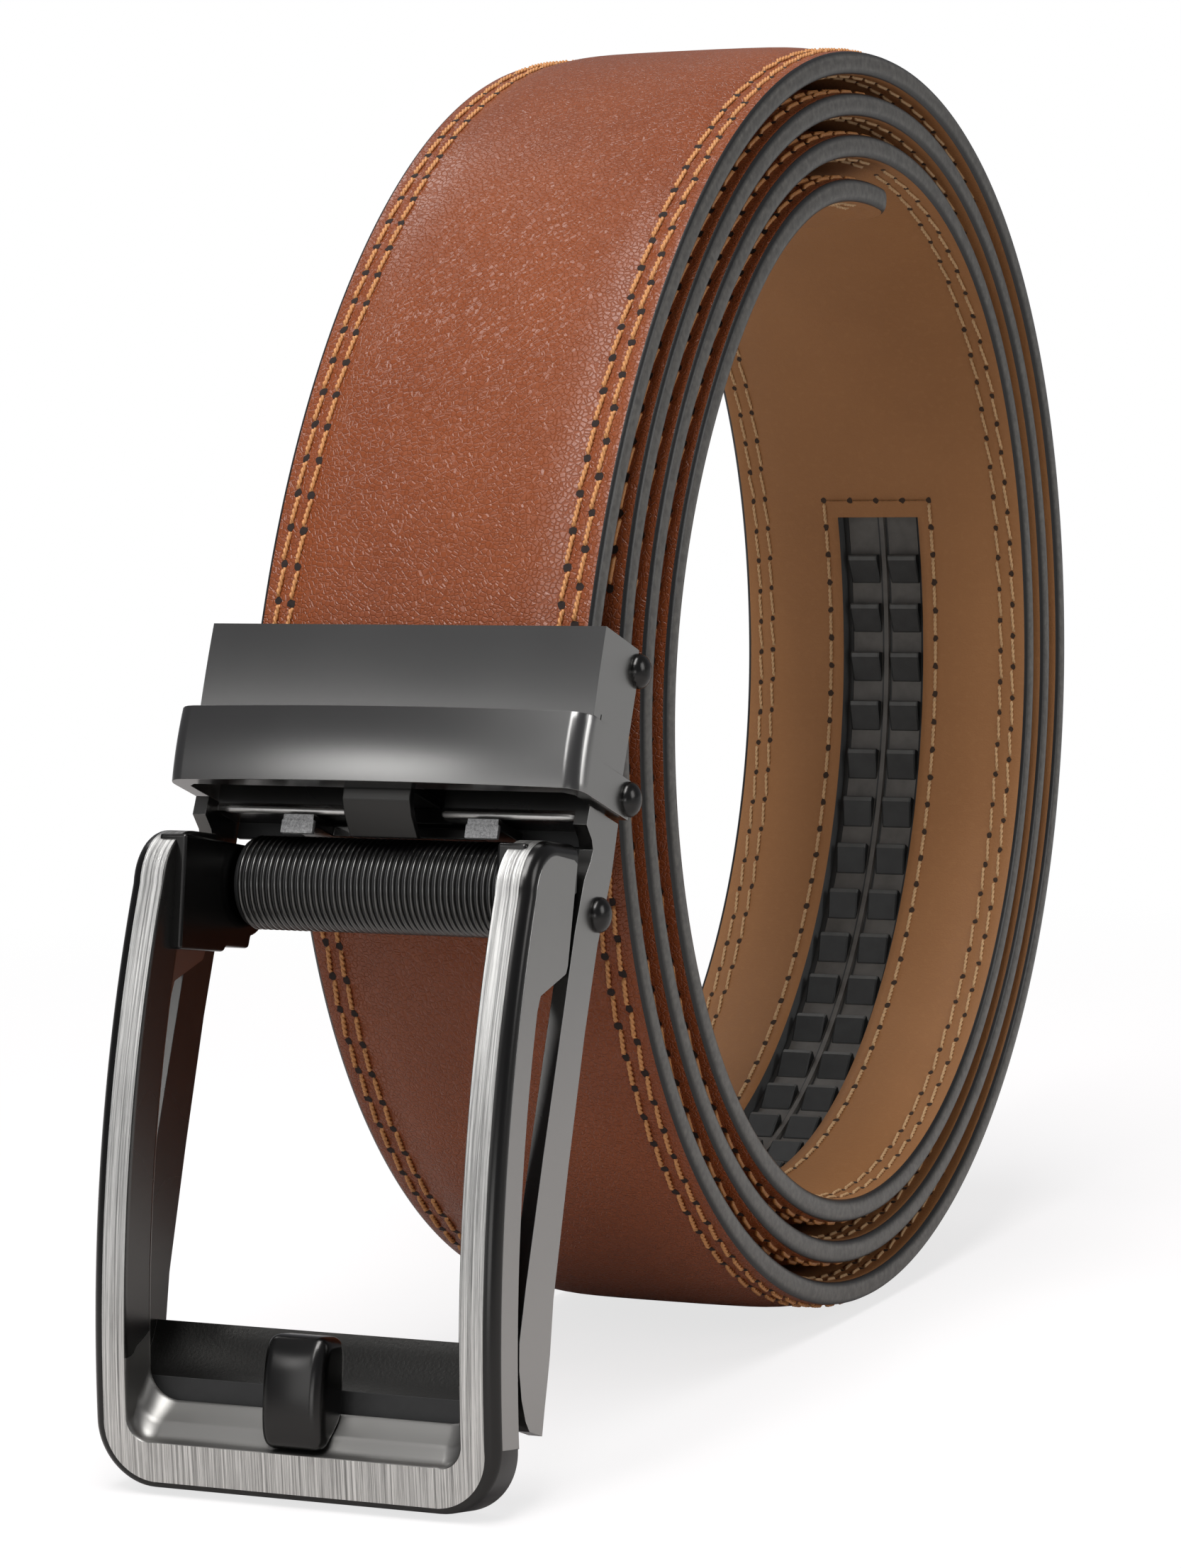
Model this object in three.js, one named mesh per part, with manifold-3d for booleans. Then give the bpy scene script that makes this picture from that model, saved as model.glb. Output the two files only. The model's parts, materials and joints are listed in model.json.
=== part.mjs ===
// A ratchet belt, coiled up and standing on its edge with its buckle hanging down in front.
// Millimetres, +Z up. The coil's axis lies along X and the buckle faces -Y.
import * as THREE from 'three';
import { mergeVertices } from 'three/addons/utils/BufferGeometryUtils.js';
import Module from 'manifold-3d';

const wasm = await Module();
wasm.setup();

// Clearances
const seatGap = 0.3;
const pinClearance = 0.15;

// Strap, across its width
const strapWidth = 35;
const edgeThickness = 2.4;
const crownRise = 1.4;
const glueLine = 0.3;
const tipCornerRadius = 4;

// Half section of the leather face: shares of the half width and of the crown's rise
const leatherSection = [
  { across: 1.0, rise: 0.0 },
  { across: 0.76, rise: 0.12 },
  { across: 0.6, rise: 1.0 },
];

// Coil, seen along X. Angles run from the front over the top, the back and the bottom.
const coilRadius = 67.5;
const coilTurnGap = 0.5;
const coilSideSlack = 1.1;
const tipAngle = 1186;
const tipDroop = 1.0;
const tipDroopSpan = 30;
const coilStep = 7.5;
const joinAngle = 45;

// How far the coil's outline reaches at each angle, as a share of its radius
const coilOutline = [
  { angle: 0, reach: 0.967 },
  { angle: 45, reach: 0.927 },
  { angle: 90, reach: 0.973 },
  { angle: 135, reach: 1.033 },
  { angle: 180, reach: 1.027 },
  { angle: 225, reach: 1.031 },
  { angle: 270, reach: 1.033 },
  { angle: 315, reach: 1.0 },
];

// Ratchet track, let into a window in the lining
const trackStartAngle = 885;
const trackEndAngle = 1132.5;
const windowWidth = 9.8;
const toothPitch = 5.8;
const toothLength = 3.5;
const toothToe = 0.12;
const toothHeight = 1.1;
const trackFloor = 0.4;
const trackRib = 0.7;
const trackRibHeight = 0.4;

// Buckle: its plates, the strap's room between them, how it leans and its room before the coil
const plate = 1.4;
const chassisPlate = 1.0;
const strapSideGap = 0.3;
const buckleLean = 21;
const coilClearance = 1.55;

// Clamp that grips the strap's end, in the buckle's own frame, whose 0, 0 is near the hinge
const clampFace = -6.4;
const clampTop = 24.5;
const clampFoot = 12.3;
const clampRear = 1.8;
const clampFaceThickness = 1.3;
const strapSeat = -2.0;
const backRoom = 0.8;
const strapEnd = 12.8;
const strapStraight = 3;

// Keeper loop in front of the clamp
const keeperTop = 15.5;
const keeperFoot = 8.3;
const keeperFront = -9.4;
const keeperBow = 1.0;
const keeperProud = 0.9;
const keeperThickness = 1.5;
const keeperEndRadius = 2.0;
const keeperReturn = -5.2;
const keeperRear = 1.7;
const seamGap = 0.35;

// Rivets, with their places as Y, Z in the buckle's frame
const rivetHeadRadius = 1.65;
const rivetHeadHeight = 1.1;
const rivetShaftRadius = 0.7;
const rivetLugRadius = 1.55;
const clampRivetAt = [1.7, 22.6];
const keeperRivetAt = [1.3, 10.2];
const hingePinAt = [0, -1.1];

// Base behind the frame: two arms, a bridge under the keeper and a scoop at the foot
const armLength = 48.5;
const armWidth = 5.4;
const bridgeFront = -2.9;
const bridgeRear = 1.1;
const bridgeThickness = 1.2;
const bridgeWall = 1.0;
const bridgeNotchWidth = 9.2;
const scoopHeight = 7.5;
const scoopRadius = 9;
const scoopThickness = 1.3;
const scoopSweep = 45;
const scoopClearance = 0.75;
const scoopSkirt = 1.2;
const tabWidth = 7.0;
const tabThickness = 0.9;
const pawlFingerWidth = 3.2;
const pawlFingerCentre = 9.6;
const pawlFront = -4.2;
const pawlThickness = 1.0;
const pawlRoom = 0.3;

// Neck of the arm above the hinge, front edge: shares of the arm's width and of the neck's height
const armNeck = [
  { up: 1.0, ahead: 0.89 },
  { up: 0.77, ahead: 0.92 },
  { up: 0.64, ahead: 0.63 },
  { up: 0.54, ahead: 0.54 },
  { up: 0.4, ahead: 0.57 },
  { up: 0.15, ahead: 0.72 },
];

// Leg of the arm below the hinge: shares of the arm's length and of its width
const armLeg = [
  { down: 0.08, ahead: 0.82, behind: 0.13 },
  { down: 0.25, ahead: 0.85, behind: 0.09 },
  { down: 0.5, ahead: 0.88, behind: 0.14 },
  { down: 0.75, ahead: 0.88, behind: 0.24 },
  { down: 0.85, ahead: 0.84, behind: 0.39 },
  { down: 0.9, ahead: 0.7, behind: 0.43 },
  { down: 0.95, ahead: 0.46, behind: 0.46 },
  { down: 0.985, ahead: 0.2, behind: 0.49 },
  { down: 1.0, ahead: 0.0, behind: 0.5 },
];

// Ribbed bar between the cheeks, with its middle just above the hinge axis
const barRadius = 4.45;
const barAt = [0, 0.9];

// Front frame, in its own frame with its front chord upright, and how far it reaches below the arms
const frameLean = 9.8;
const frameFront = -14.8;
const footReach = 6.5;
const frameTop = 5.1;
const frameBow = 3.3;
const frameSideWidth = 3.6;
const frameFootHeight = 4.2;
const frameDepth = 4.7;
const frameChamfer = 1.2;
const footChamfer = 0.5;
const frameCornerRadius = 6;
const frameShoulderRadius = 5.2;
const ledgeRise = 3.6;
const earRear = -5.2;
const earLowRear = -6.2;
const earFoot = -6.3;
const earTaper = 2.4;
const cheekThickness = 2.9;
const bossRadius = 4.3;
const cheekFoot = 5.4;

// Prong on the frame's foot
const prongWidth = 6.3;
const prongHeight = 10.3;
const prongDepth = 4.6;
const prongProud = 0.5;

// Finishes
const colours = {
  leather: { color: 0x7a3c22, roughness: 0.42, metalness: 0 },
  lining: { color: 0x93704a, roughness: 0.7, metalness: 0 },
  rubber: { color: 0x141414, roughness: 0.5, metalness: 0 },
  gunmetal: { color: 0x4a4a4a, roughness: 0.25, metalness: 1 },
  dark: { color: 0x242424, roughness: 0.3, metalness: 1 },
  brushed: { color: 0x9c9a94, roughness: 0.35, metalness: 1 },
  steel: { color: 0xb5b5b5, roughness: 0.5, metalness: 1 },
};

const radians = THREE.MathUtils.degToRad;

// Mesh helpers

// Turns corner points and triangles into a geometry whose faces point out.
function closedGeometry(points, triangles) {
  let volume = 0;
  for (const [a, b, c] of triangles) {
    volume += points[a].dot(points[b].clone().cross(points[c]));
  }
  const geometry = new THREE.BufferGeometry();
  const positions = points.flatMap((p) => [p.x, p.y, p.z]);
  const order = volume > 0 ? triangles : triangles.map(([a, b, c]) => [a, c, b]);
  geometry.setAttribute('position', new THREE.Float32BufferAttribute(positions, 3));
  geometry.setIndex(order.flat());
  return geometry;
}

// Joins equal rings of points into one closed skin, with flat caps on the first and last ring.
function loft(rings, capOutline) {
  const count = rings[0].length;
  const points = rings.flat();
  const triangles = [];
  for (let i = 0; i + 1 < rings.length; i += 1) {
    for (let j = 0; j < count; j += 1) {
      const a = i * count + j;
      const b = i * count + (j + 1) % count;
      triangles.push([a, b, b + count], [a, b + count, a + count]);
    }
  }
  const last = (rings.length - 1) * count;
  const turned = THREE.ShapeUtils.isClockWise(capOutline);
  for (const [a, b, c] of THREE.ShapeUtils.triangulateShape(capOutline, [])) {
    const [p, q] = turned ? [b, c] : [c, b];
    triangles.push([a, p, q], [a + last, q + last, p + last]);
  }
  return closedGeometry(points, triangles);
}

// A plate: an outline in Y and Z, pushed along X from one side to the other.
function extrudeAlongX(outline, from, to) {
  const flat = outline.map(([y, z]) => new THREE.Vector2(y, z));
  const ring = (x) => flat.map((p) => new THREE.Vector3(x, p.x, p.y));
  return loft([ring(from), ring(to)], flat);
}

// A block: an outline in X and Y, pushed up along Z.
function extrudeAlongZ(outline, from, to) {
  const flat = outline.map(([x, y]) => new THREE.Vector2(x, y));
  const ring = (z) => flat.map((p) => new THREE.Vector3(p.x, p.y, z));
  return loft([ring(from), ring(to)], flat);
}

function boxBetween([x0, y0, z0], [x1, y1, z1]) {
  const box = new THREE.BoxGeometry(x1 - x0, y1 - y0, z1 - z0);
  return box.translate((x0 + x1) / 2, (y0 + y1) / 2, (z0 + z1) / 2);
}

function cylinderAlongX(radius, from, to, [y, z], sides = 24) {
  const rod = new THREE.CylinderGeometry(radius, radius, to - from, sides);
  return rod.rotateZ(Math.PI / 2).translate((from + to) / 2, y, z);
}

// Points on an arc in a plane, from one angle to another in degrees.
function arc([u, v], radius, from, to, steps) {
  return Array.from({ length: steps + 1 }, (_, i) => {
    const angle = radians(from + (to - from) * i / steps);
    return [u + radius * Math.cos(angle), v + radius * Math.sin(angle)];
  });
}

function toSolid(geometry) {
  const bare = geometry.clone();
  bare.deleteAttribute('normal');
  bare.deleteAttribute('uv');
  const merged = mergeVertices(bare, 1e-5);
  return new wasm.Manifold(new wasm.Mesh({
    numProp: 3,
    vertProperties: new Float32Array(merged.attributes.position.array),
    triVerts: new Uint32Array(merged.index.array),
  }));
}

function toGeometry(solid) {
  const mesh = solid.getMesh();
  const geometry = new THREE.BufferGeometry();
  geometry.setAttribute('position', new THREE.BufferAttribute(mesh.vertProperties, 3));
  geometry.setIndex(new THREE.BufferAttribute(mesh.triVerts, 1));
  return geometry;
}

function join(geometries) {
  return toGeometry(geometries.map(toSolid).reduce((whole, next) => whole.add(next)));
}

function cut(geometry, tools) {
  return toGeometry(tools.map(toSolid).reduce((whole, tool) => whole.subtract(tool), toSolid(geometry)));
}

function mirrorX(geometry) {
  const points = geometry.attributes.position;
  const index = geometry.index;
  const corners = Array.from({ length: points.count }, (_, i) => (
    new THREE.Vector3(-points.getX(i), points.getY(i), points.getZ(i))
  ));
  const triangles = Array.from({ length: index.count / 3 }, (_, i) => (
    [index.getX(3 * i), index.getX(3 * i + 1), index.getX(3 * i + 2)]
  ));
  return closedGeometry(corners, triangles);
}

function pair(geometry) {
  return [geometry, mirrorX(geometry)];
}

function named(name, geometry, finish) {
  const shaded = geometry.index ? geometry.toNonIndexed() : geometry;
  shaded.computeVertexNormals();
  const mesh = new THREE.Mesh(shaded, new THREE.MeshStandardMaterial(colours[finish]));
  mesh.name = name;
  return mesh;
}

// Coil

const half = strapWidth / 2 + strapSideGap + chassisPlate + seatGap + plate;
const innerHalf = half - plate;
const outward = edgeThickness / 2;
const turnPitch = edgeThickness + crownRise + coilTurnGap;

// The outline's share at any angle, smoothly between the rows of the table.
function outlineReach(angle) {
  const rows = coilOutline.length;
  const place = ((angle % 360) + 360) % 360 / (360 / rows);
  const row = Math.floor(place);
  const t = place - row;
  const [a, b, c, d] = [-1, 0, 1, 2].map((k) => coilOutline[(row + k + rows) % rows].reach);
  return b + 0.5 * t * (c - a + t * (2 * a - 5 * b + 4 * c - d + t * (3 * (b - c) + d - a)));
}

// Radius of the strap's middle line at an angle along the coil.
function coilReach(angle) {
  const slack = coilSideSlack * Math.cos(radians(angle)) ** 2;
  const droop = Math.max(0, 1 - (tipAngle - angle) / tipDroopSpan) ** 2 * tipDroop;
  return coilRadius * outlineReach(angle) - angle / 360 * (turnPitch + slack) - outward - droop;
}

function lowestReach() {
  let lowest = 0;
  for (let angle = 180; angle < 360; angle += 1) {
    lowest = Math.max(lowest, -coilReach(angle) * Math.sin(radians(angle)));
  }
  return lowest + outward + crownRise;
}

const coilCentre = new THREE.Vector2(0, lowestReach());

function coilPoint(angle) {
  const reach = coilReach(angle);
  return new THREE.Vector2(
    coilCentre.x - reach * Math.cos(radians(angle)),
    coilCentre.y + reach * Math.sin(radians(angle)),
  );
}

// Buckle placement: the frame's foot stands on the floor beside the coil

const frameFoot = -armLength - footReach;

// Y of the frame's bowed front at a height in its own frame.
function frameFrontAt(z) {
  const middle = frameFoot / 2;
  const share = (z - middle) / middle;
  return frameFront - frameBow * (1 - Math.min(1, share * share));
}

function frameFootDrop() {
  const lean = radians(frameLean);
  const corners = [[frameFrontAt(frameFoot) + footChamfer, frameFoot],
    [frameFrontAt(frameFoot) + frameDepth, frameFoot]];
  return Math.min(...corners.map(([y, z]) => z * Math.cos(lean) - y * Math.sin(lean)));
}

// How far the buckle's 0, 0 lies ahead of the coil's axis, so that the clamp's rear clears the coil.
function originToCoilAxis(height) {
  const lean = radians(buckleLean);
  const rear = strapSeat + outward + backRoom + seatGap + chassisPlate;
  const rearAt = (z) => (rear + (z - height) * Math.sin(lean)) / Math.cos(lean);
  const top = height + (clampTop - 0.5) * Math.cos(lean) - rear * Math.sin(lean);
  const foot = height + clampFoot * Math.cos(lean) - rear * Math.sin(lean);
  let reach = 0;
  for (let angle = 320; angle <= 420; angle += 0.5) {
    const skin = coilReach(angle) + outward + crownRise;
    const z = coilCentre.y + skin * Math.sin(radians(angle));
    if (z > foot && z < top + 0.5) {
      const ahead = rearAt(Math.min(z, top));
      reach = Math.max(reach, ahead + coilClearance + skin * Math.cos(radians(angle)));
    }
  }
  return reach;
}

const originHeight = -frameFootDrop();
const origin = new THREE.Vector2(coilCentre.x - originToCoilAxis(originHeight), originHeight);
const swing = radians(buckleLean - frameLean);
const toBuckle = new THREE.Matrix4().makeRotationX(-radians(buckleLean))
  .setPosition(0, origin.x, origin.y);
const toFrame = new THREE.Matrix4().makeRotationX(-radians(frameLean))
  .setPosition(0, origin.x, origin.y);

function bucklePoint(y, z) {
  const point = new THREE.Vector3(0, y, z).applyMatrix4(toBuckle);
  return new THREE.Vector2(point.y, point.z);
}

// Strap path: straight in the clamp, a smooth bend, then the coil to the tip

function strapPath() {
  const points = [];
  const clampStart = bucklePoint(strapSeat, strapEnd);
  const clampEnd = bucklePoint(strapSeat, clampTop + strapStraight);
  const joint = coilPoint(joinAngle);
  const along = clampEnd.clone().sub(clampStart).normalize();
  const coilward = coilPoint(joinAngle + 1).sub(coilPoint(joinAngle - 1)).normalize();
  const reach = clampEnd.distanceTo(joint) / 3;
  const bend = new THREE.CubicBezierCurve(clampEnd, clampEnd.clone().addScaledVector(along, reach),
    joint.clone().addScaledVector(coilward, -reach), joint);
  points.push(clampStart, clampStart.clone().lerp(clampEnd, 0.5), clampEnd);
  points.push(...bend.getPoints(4).slice(1));
  for (let angle = joinAngle + coilStep; angle < tipAngle - coilStep / 2; angle += coilStep) {
    points.push(coilPoint(angle));
  }
  const tip = coilPoint(tipAngle);
  const before = coilPoint(tipAngle - 1);
  const inward = before.clone().sub(tip).normalize();
  for (const share of [1, 0.45, 0.12, 0]) {
    points.push(tip.clone().addScaledVector(inward, tipCornerRadius * share));
  }
  return points;
}

const pathPoints = strapPath();

// Each station holds its place, its outward normal and the strap's half width there.
const stations = pathPoints.map((point, i) => {
  const before = pathPoints[Math.max(0, i - 1)];
  const after = pathPoints[Math.min(pathPoints.length - 1, i + 1)];
  const along = after.clone().sub(before).normalize();
  const fromTip = Math.min(tipCornerRadius, point.distanceTo(pathPoints[pathPoints.length - 1]));
  const notch = tipCornerRadius - fromTip;
  const trim = tipCornerRadius - Math.sqrt(tipCornerRadius ** 2 - notch ** 2);
  return { point, normal: new THREE.Vector2(-along.y, along.x), halfWidth: strapWidth / 2 - trim };
});

function stationPoint(station, x, offset) {
  return new THREE.Vector3(x, station.point.x + station.normal.x * offset,
    station.point.y + station.normal.y * offset);
}

const firstCoilStation = pathPoints.findIndex((p) => p.distanceTo(coilPoint(joinAngle)) < 1e-6);
const stationAt = (angle) => firstCoilStation + Math.round((angle - joinAngle) / coilStep);

function strapLeather() {
  const inner = glueLine / 2;
  const rightHalf = leatherSection.map(({ across, rise }) => [across, outward + crownRise * rise]);
  const leftHalf = rightHalf.map(([across, offset]) => [-across, offset]).reverse();
  const section = [...rightHalf, ...leftHalf, [-1, inner], [1, inner]];
  const rings = stations.map((station) => (
    section.map(([across, offset]) => stationPoint(station, across * station.halfWidth, offset))
  ));
  const cap = section.map(([across, offset]) => new THREE.Vector2(across * strapWidth / 2, offset));
  return loft(rings, cap);
}

// The lining is a grid of cells, left out over the track's window.
function strapLining() {
  const columns = [-1, -windowWidth / strapWidth, windowWidth / strapWidth, 1];
  const rows = stations.length;
  const width = columns.length;
  const points = [];
  for (const offset of [-glueLine / 2, -outward]) {
    for (const station of stations) {
      for (const column of columns) {
        points.push(stationPoint(station, column * station.halfWidth, offset));
      }
    }
  }
  const windowFrom = stationAt(trackStartAngle);
  const windowTo = stationAt(trackEndAngle);
  const filled = (i, j) => i >= 0 && i < rows - 1 && j >= 0 && j < width - 1
    && !(j === 1 && i >= windowFrom && i < windowTo);
  const top = (i, j) => i * width + j;
  const under = (i, j) => rows * width + top(i, j);
  const triangles = [];
  const quad = (a, b, c, d) => triangles.push([a, b, c], [a, c, d]);
  for (let i = 0; i < rows - 1; i += 1) {
    for (let j = 0; j < width - 1; j += 1) {
      if (filled(i, j)) {
        quad(top(i, j), top(i + 1, j), top(i + 1, j + 1), top(i, j + 1));
        quad(under(i, j), under(i, j + 1), under(i + 1, j + 1), under(i + 1, j));
        if (!filled(i - 1, j)) quad(top(i, j), top(i, j + 1), under(i, j + 1), under(i, j));
        if (!filled(i + 1, j)) quad(top(i + 1, j + 1), top(i + 1, j), under(i + 1, j), under(i + 1, j + 1));
        if (!filled(i, j - 1)) quad(top(i + 1, j), top(i, j), under(i, j), under(i + 1, j));
        if (!filled(i, j + 1)) quad(top(i, j + 1), top(i + 1, j + 1), under(i + 1, j + 1), under(i, j + 1));
      }
    }
  }
  return closedGeometry(points, triangles);
}

// Track: a floor strip with a rib down its middle and two columns of teeth that ramp up to the tip.
function ratchetTrack() {
  const run = stations.slice(stationAt(trackStartAngle), stationAt(trackEndAngle) + 1);
  const lengths = [0];
  for (let i = 1; i < run.length; i += 1) {
    lengths.push(lengths[i - 1] + run[i].point.distanceTo(run[i - 1].point));
  }
  const total = lengths[lengths.length - 1];
  const between = (distance) => {
    const i = Math.min(run.length - 2, lengths.findIndex((_, k) => lengths[k + 1] >= distance));
    const share = (distance - lengths[i]) / (lengths[i + 1] - lengths[i]);
    return {
      point: run[i].point.clone().lerp(run[i + 1].point, share),
      normal: run[i].normal.clone().lerp(run[i + 1].normal, share).normalize(),
    };
  };
  const halfTrack = windowWidth / 2 - seatGap;
  const deck = -glueLine / 2;
  const floor = deck - trackFloor;
  const floorSection = [[-halfTrack, deck], [halfTrack, deck], [halfTrack, floor],
    [trackRib / 2, floor], [trackRib / 2, floor - trackRibHeight],
    [-trackRib / 2, floor - trackRibHeight], [-trackRib / 2, floor], [-halfTrack, floor]];
  const inset = [between(seatGap), ...run.slice(1, -1), between(total - seatGap)];
  const rings = inset.map((station) => floorSection.map(([x, offset]) => stationPoint(station, x, offset)));
  const cap = floorSection.map(([x, offset]) => new THREE.Vector2(x, offset));
  const pieces = [loft(rings, cap)];
  const rowCount = Math.floor((total - toothPitch) / toothPitch);
  const margin = (total - (rowCount - 1) * toothPitch - toothLength) / 2;
  const toothInner = trackRib / 2 + 0.15;
  for (let row = 0; row < rowCount; row += 1) {
    const from = margin + row * toothPitch;
    const foot = between(from);
    const end = between(from + toothLength);
    for (const [x0, x1] of [[-halfTrack, -toothInner], [toothInner, halfTrack]]) {
      const ring = (x) => [stationPoint(foot, x, floor + 0.2), stationPoint(end, x, floor + 0.2),
        stationPoint(end, x, floor - toothToe), stationPoint(foot, x, floor - toothHeight)];
      const outline = [[0, 0], [3, 0], [3, 1], [0, 2]].map(([u, v]) => new THREE.Vector2(u, v));
      pieces.push(loft([ring(x0), ring(x1)], outline));
    }
  }
  return join(pieces);
}

// Clamp, keeper and base, in the buckle's frame

const pin = rivetShaftRadius + pinClearance;

function boreTools(places) {
  return places.map((place) => cylinderAlongX(pin, -half - 2, half + 2, place, 16));
}

// A plate on the right side with a round lug for its rivet, and its mirror image.
function lugPlates(outline, lugs, from, to) {
  const plates = [extrudeAlongX(outline, from, to), ...lugs.map((lug) => (
    cylinderAlongX(rivetLugRadius, from, to, lug, 20)
  ))];
  return pair(join(plates));
}

function clampCover() {
  const step = keeperReturn + seatGap;
  const face = boxBetween([-half, clampFace, clampFoot], [half, clampFace + clampFaceThickness, clampTop]);
  const sides = lugPlates([[clampFace + 0.5, clampTop], [clampFace + 0.5, keeperTop + 1],
    [step, keeperTop + 1], [step, clampFoot], [clampRear - 0.5, clampFoot],
    [clampRear - 0.1, clampRivetAt[1] - 2], [clampRear - 0.6, clampTop]], [clampRivetAt], innerHalf, half);
  const relief = boxBetween([innerHalf - 2, clampFace - 1, clampFoot - 1], [half + 1, step, keeperTop + 0.5]);
  return cut(join([face, ...sides]), [...pair(relief), ...boreTools([clampRivetAt])]);
}

function clampChassis() {
  const outer = innerHalf - seatGap;
  const inner = outer - chassisPlate;
  const rearFace = strapSeat + outward + backRoom + seatGap;
  const front = strapSeat - outward;
  const top = clampTop - 0.5;
  const flanges = lugPlates([[front, top], [front, clampFoot + 0.5], [0, keeperRivetAt[1]],
    [clampRear - 0.8, clampFoot + 0.5], [clampRear - 0.4, top]], [clampRivetAt, keeperRivetAt], inner, outer);
  const back = boxBetween([-inner - 0.2, rearFace, clampFoot + 0.5],
    [inner + 0.2, rearFace + chassisPlate, top]);
  return cut(join([back, ...flanges]), boreTools([clampRivetAt, keeperRivetAt]));
}

// Keeper: a bowed front bar with rounded ends, and an ear on each side below the clamp.
function keeperLoop() {
  const outerHalf = half + keeperProud;
  const inside = outerHalf - keeperThickness;
  const bowRadius = (outerHalf * outerHalf) / (2 * keeperBow) + keeperBow / 2;
  const bowCentre = [0, keeperFront - keeperBow + bowRadius];
  const endTurn = THREE.MathUtils.radToDeg(Math.asin((outerHalf - keeperEndRadius) / bowRadius));
  const endY = bowCentre[1] - Math.sqrt(bowRadius ** 2 - (outerHalf - keeperEndRadius) ** 2)
    + keeperEndRadius;
  const endX = outerHalf - keeperEndRadius;
  const outer = [
    [-outerHalf, keeperRear],
    ...arc([-endX, endY], keeperEndRadius, 180, 270 - endTurn, 5),
    ...arc(bowCentre, bowRadius, 270 - endTurn * 0.88, 270 + endTurn * 0.88, 8),
    ...arc([endX, endY], keeperEndRadius, 270 + endTurn, 360, 5),
    [outerHalf, keeperRear],
  ];
  const innerFront = keeperFront + keeperThickness;
  const inner = [[inside, keeperRear], [inside, innerFront + 0.8], [inside - 0.8, innerFront],
    [-inside + 0.8, innerFront], [-inside, innerFront + 0.8], [-inside, keeperRear]];
  const body = extrudeAlongZ([...outer, ...inner], keeperFoot, keeperTop);
  const earTop = clampFoot - seamGap;
  const aboveEar = boxBetween([-outerHalf - 1, keeperReturn, earTop],
    [outerHalf + 1, keeperRear + 1, keeperTop + 1]);
  const lugs = pair(cylinderAlongX(rivetLugRadius, inside, outerHalf, keeperRivetAt, 20));
  return cut(join([cut(body, [aboveEar]), ...lugs]), boreTools([keeperRivetAt]));
}

const neckTop = keeperFoot - seamGap;
const prongFoot = frameFoot + frameFootHeight + seatGap;
const prongFront = frameFrontAt(prongFoot) - prongProud;
const prongRear = prongFront + prongDepth;
const barTop = barAt[1] + barRadius;
const pawlTop = barTop + seatGap + pawlThickness;
const bridgeFoot = pawlTop + pawlRoom;
const bridgeTop = clampFoot - 1.3;
const barLength = 2 * (innerHalf - cheekThickness - 2 * seatGap);

function armOutline() {
  return [
    [keeperRear, neckTop],
    ...armNeck.map(({ up, ahead }) => [-ahead * armWidth, up * neckTop]),
    ...armLeg.map(({ down, ahead }) => [-ahead * armWidth, -down * armLength]),
    ...armLeg.map(({ down, behind }) => [behind * armWidth, -down * armLength]).reverse(),
    [keeperRear, neckTop * 0.4],
  ];
}

function baseArms() {
  const arms = lugPlates(armOutline(), [hingePinAt], innerHalf, half);
  const lap = innerHalf + 0.2;
  const round = 0.5;
  const wing = extrudeAlongX([[bridgeRear, bridgeFoot], [bridgeRear, bridgeFoot + bridgeThickness],
    [bridgeFront + 0.3 + bridgeWall, bridgeFoot + bridgeThickness],
    [bridgeFront + 0.3 + bridgeWall, bridgeTop], [bridgeFront + 0.3, bridgeTop],
    [bridgeFront + 0.3, bridgeFoot + 2 * round], [bridgeFront, bridgeFoot + round],
    [bridgeFront + 0.15, bridgeFoot + 0.15], [bridgeFront + round, bridgeFoot]], -lap, lap);
  const notch = boxBetween([-bridgeNotchWidth / 2, bridgeFront - 1, bridgeFoot - 1],
    [bridgeNotchWidth / 2, bridgeFront + 2.4, bridgeTop + 1]);
  const postOuter = innerHalf - 2 * seatGap - chassisPlate;
  const riser = boxBetween([-postOuter, bridgeRear - bridgeWall, bridgeFoot + 0.5],
    [postOuter, bridgeRear, clampFoot + 0.5 - seatGap]);
  const [pinY, pinZ] = keeperRivetAt;
  const post = extrudeAlongX([[pinY - 1.5, bridgeFoot + 0.5], [bridgeRear, bridgeFoot + 0.5],
    [pinY + 1.2, pinZ], [pinY + 0.8, pinZ + 1.2], [pinY - 0.8, pinZ + 1.2], [pinY - 1.5, pinZ]],
  postOuter - 1.2, postOuter);
  const frontRadius = scoopRadius - scoopThickness;
  const sweep = radians(scoopSweep);
  const lipZ = scoopHeight - armLength - frontRadius * Math.sin(sweep);
  const lipY = (prongRear + scoopClearance - lipZ * Math.sin(swing)) / Math.cos(swing);
  const scoopCentre = [lipY - frontRadius * Math.cos(sweep), scoopHeight - armLength];
  const rearArc = arc(scoopCentre, scoopRadius, 0, -scoopSweep, 7);
  const frontArc = arc(scoopCentre, frontRadius, -scoopSweep, 0, 7);
  const skirtFoot = rearArc[7][1] - scoopSkirt;
  const scoop = extrudeAlongX([...rearArc, [rearArc[7][0] + 0.25 * scoopSkirt, skirtFoot],
    [frontArc[0][0] + 0.25 * scoopSkirt, skirtFoot], ...frontArc], -lap, lap);
  const body = join([...arms, cut(wing, [notch]), riser, ...pair(post), scoop]);
  return cut(body, boreTools([hingePinAt, keeperRivetAt]));
}

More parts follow.
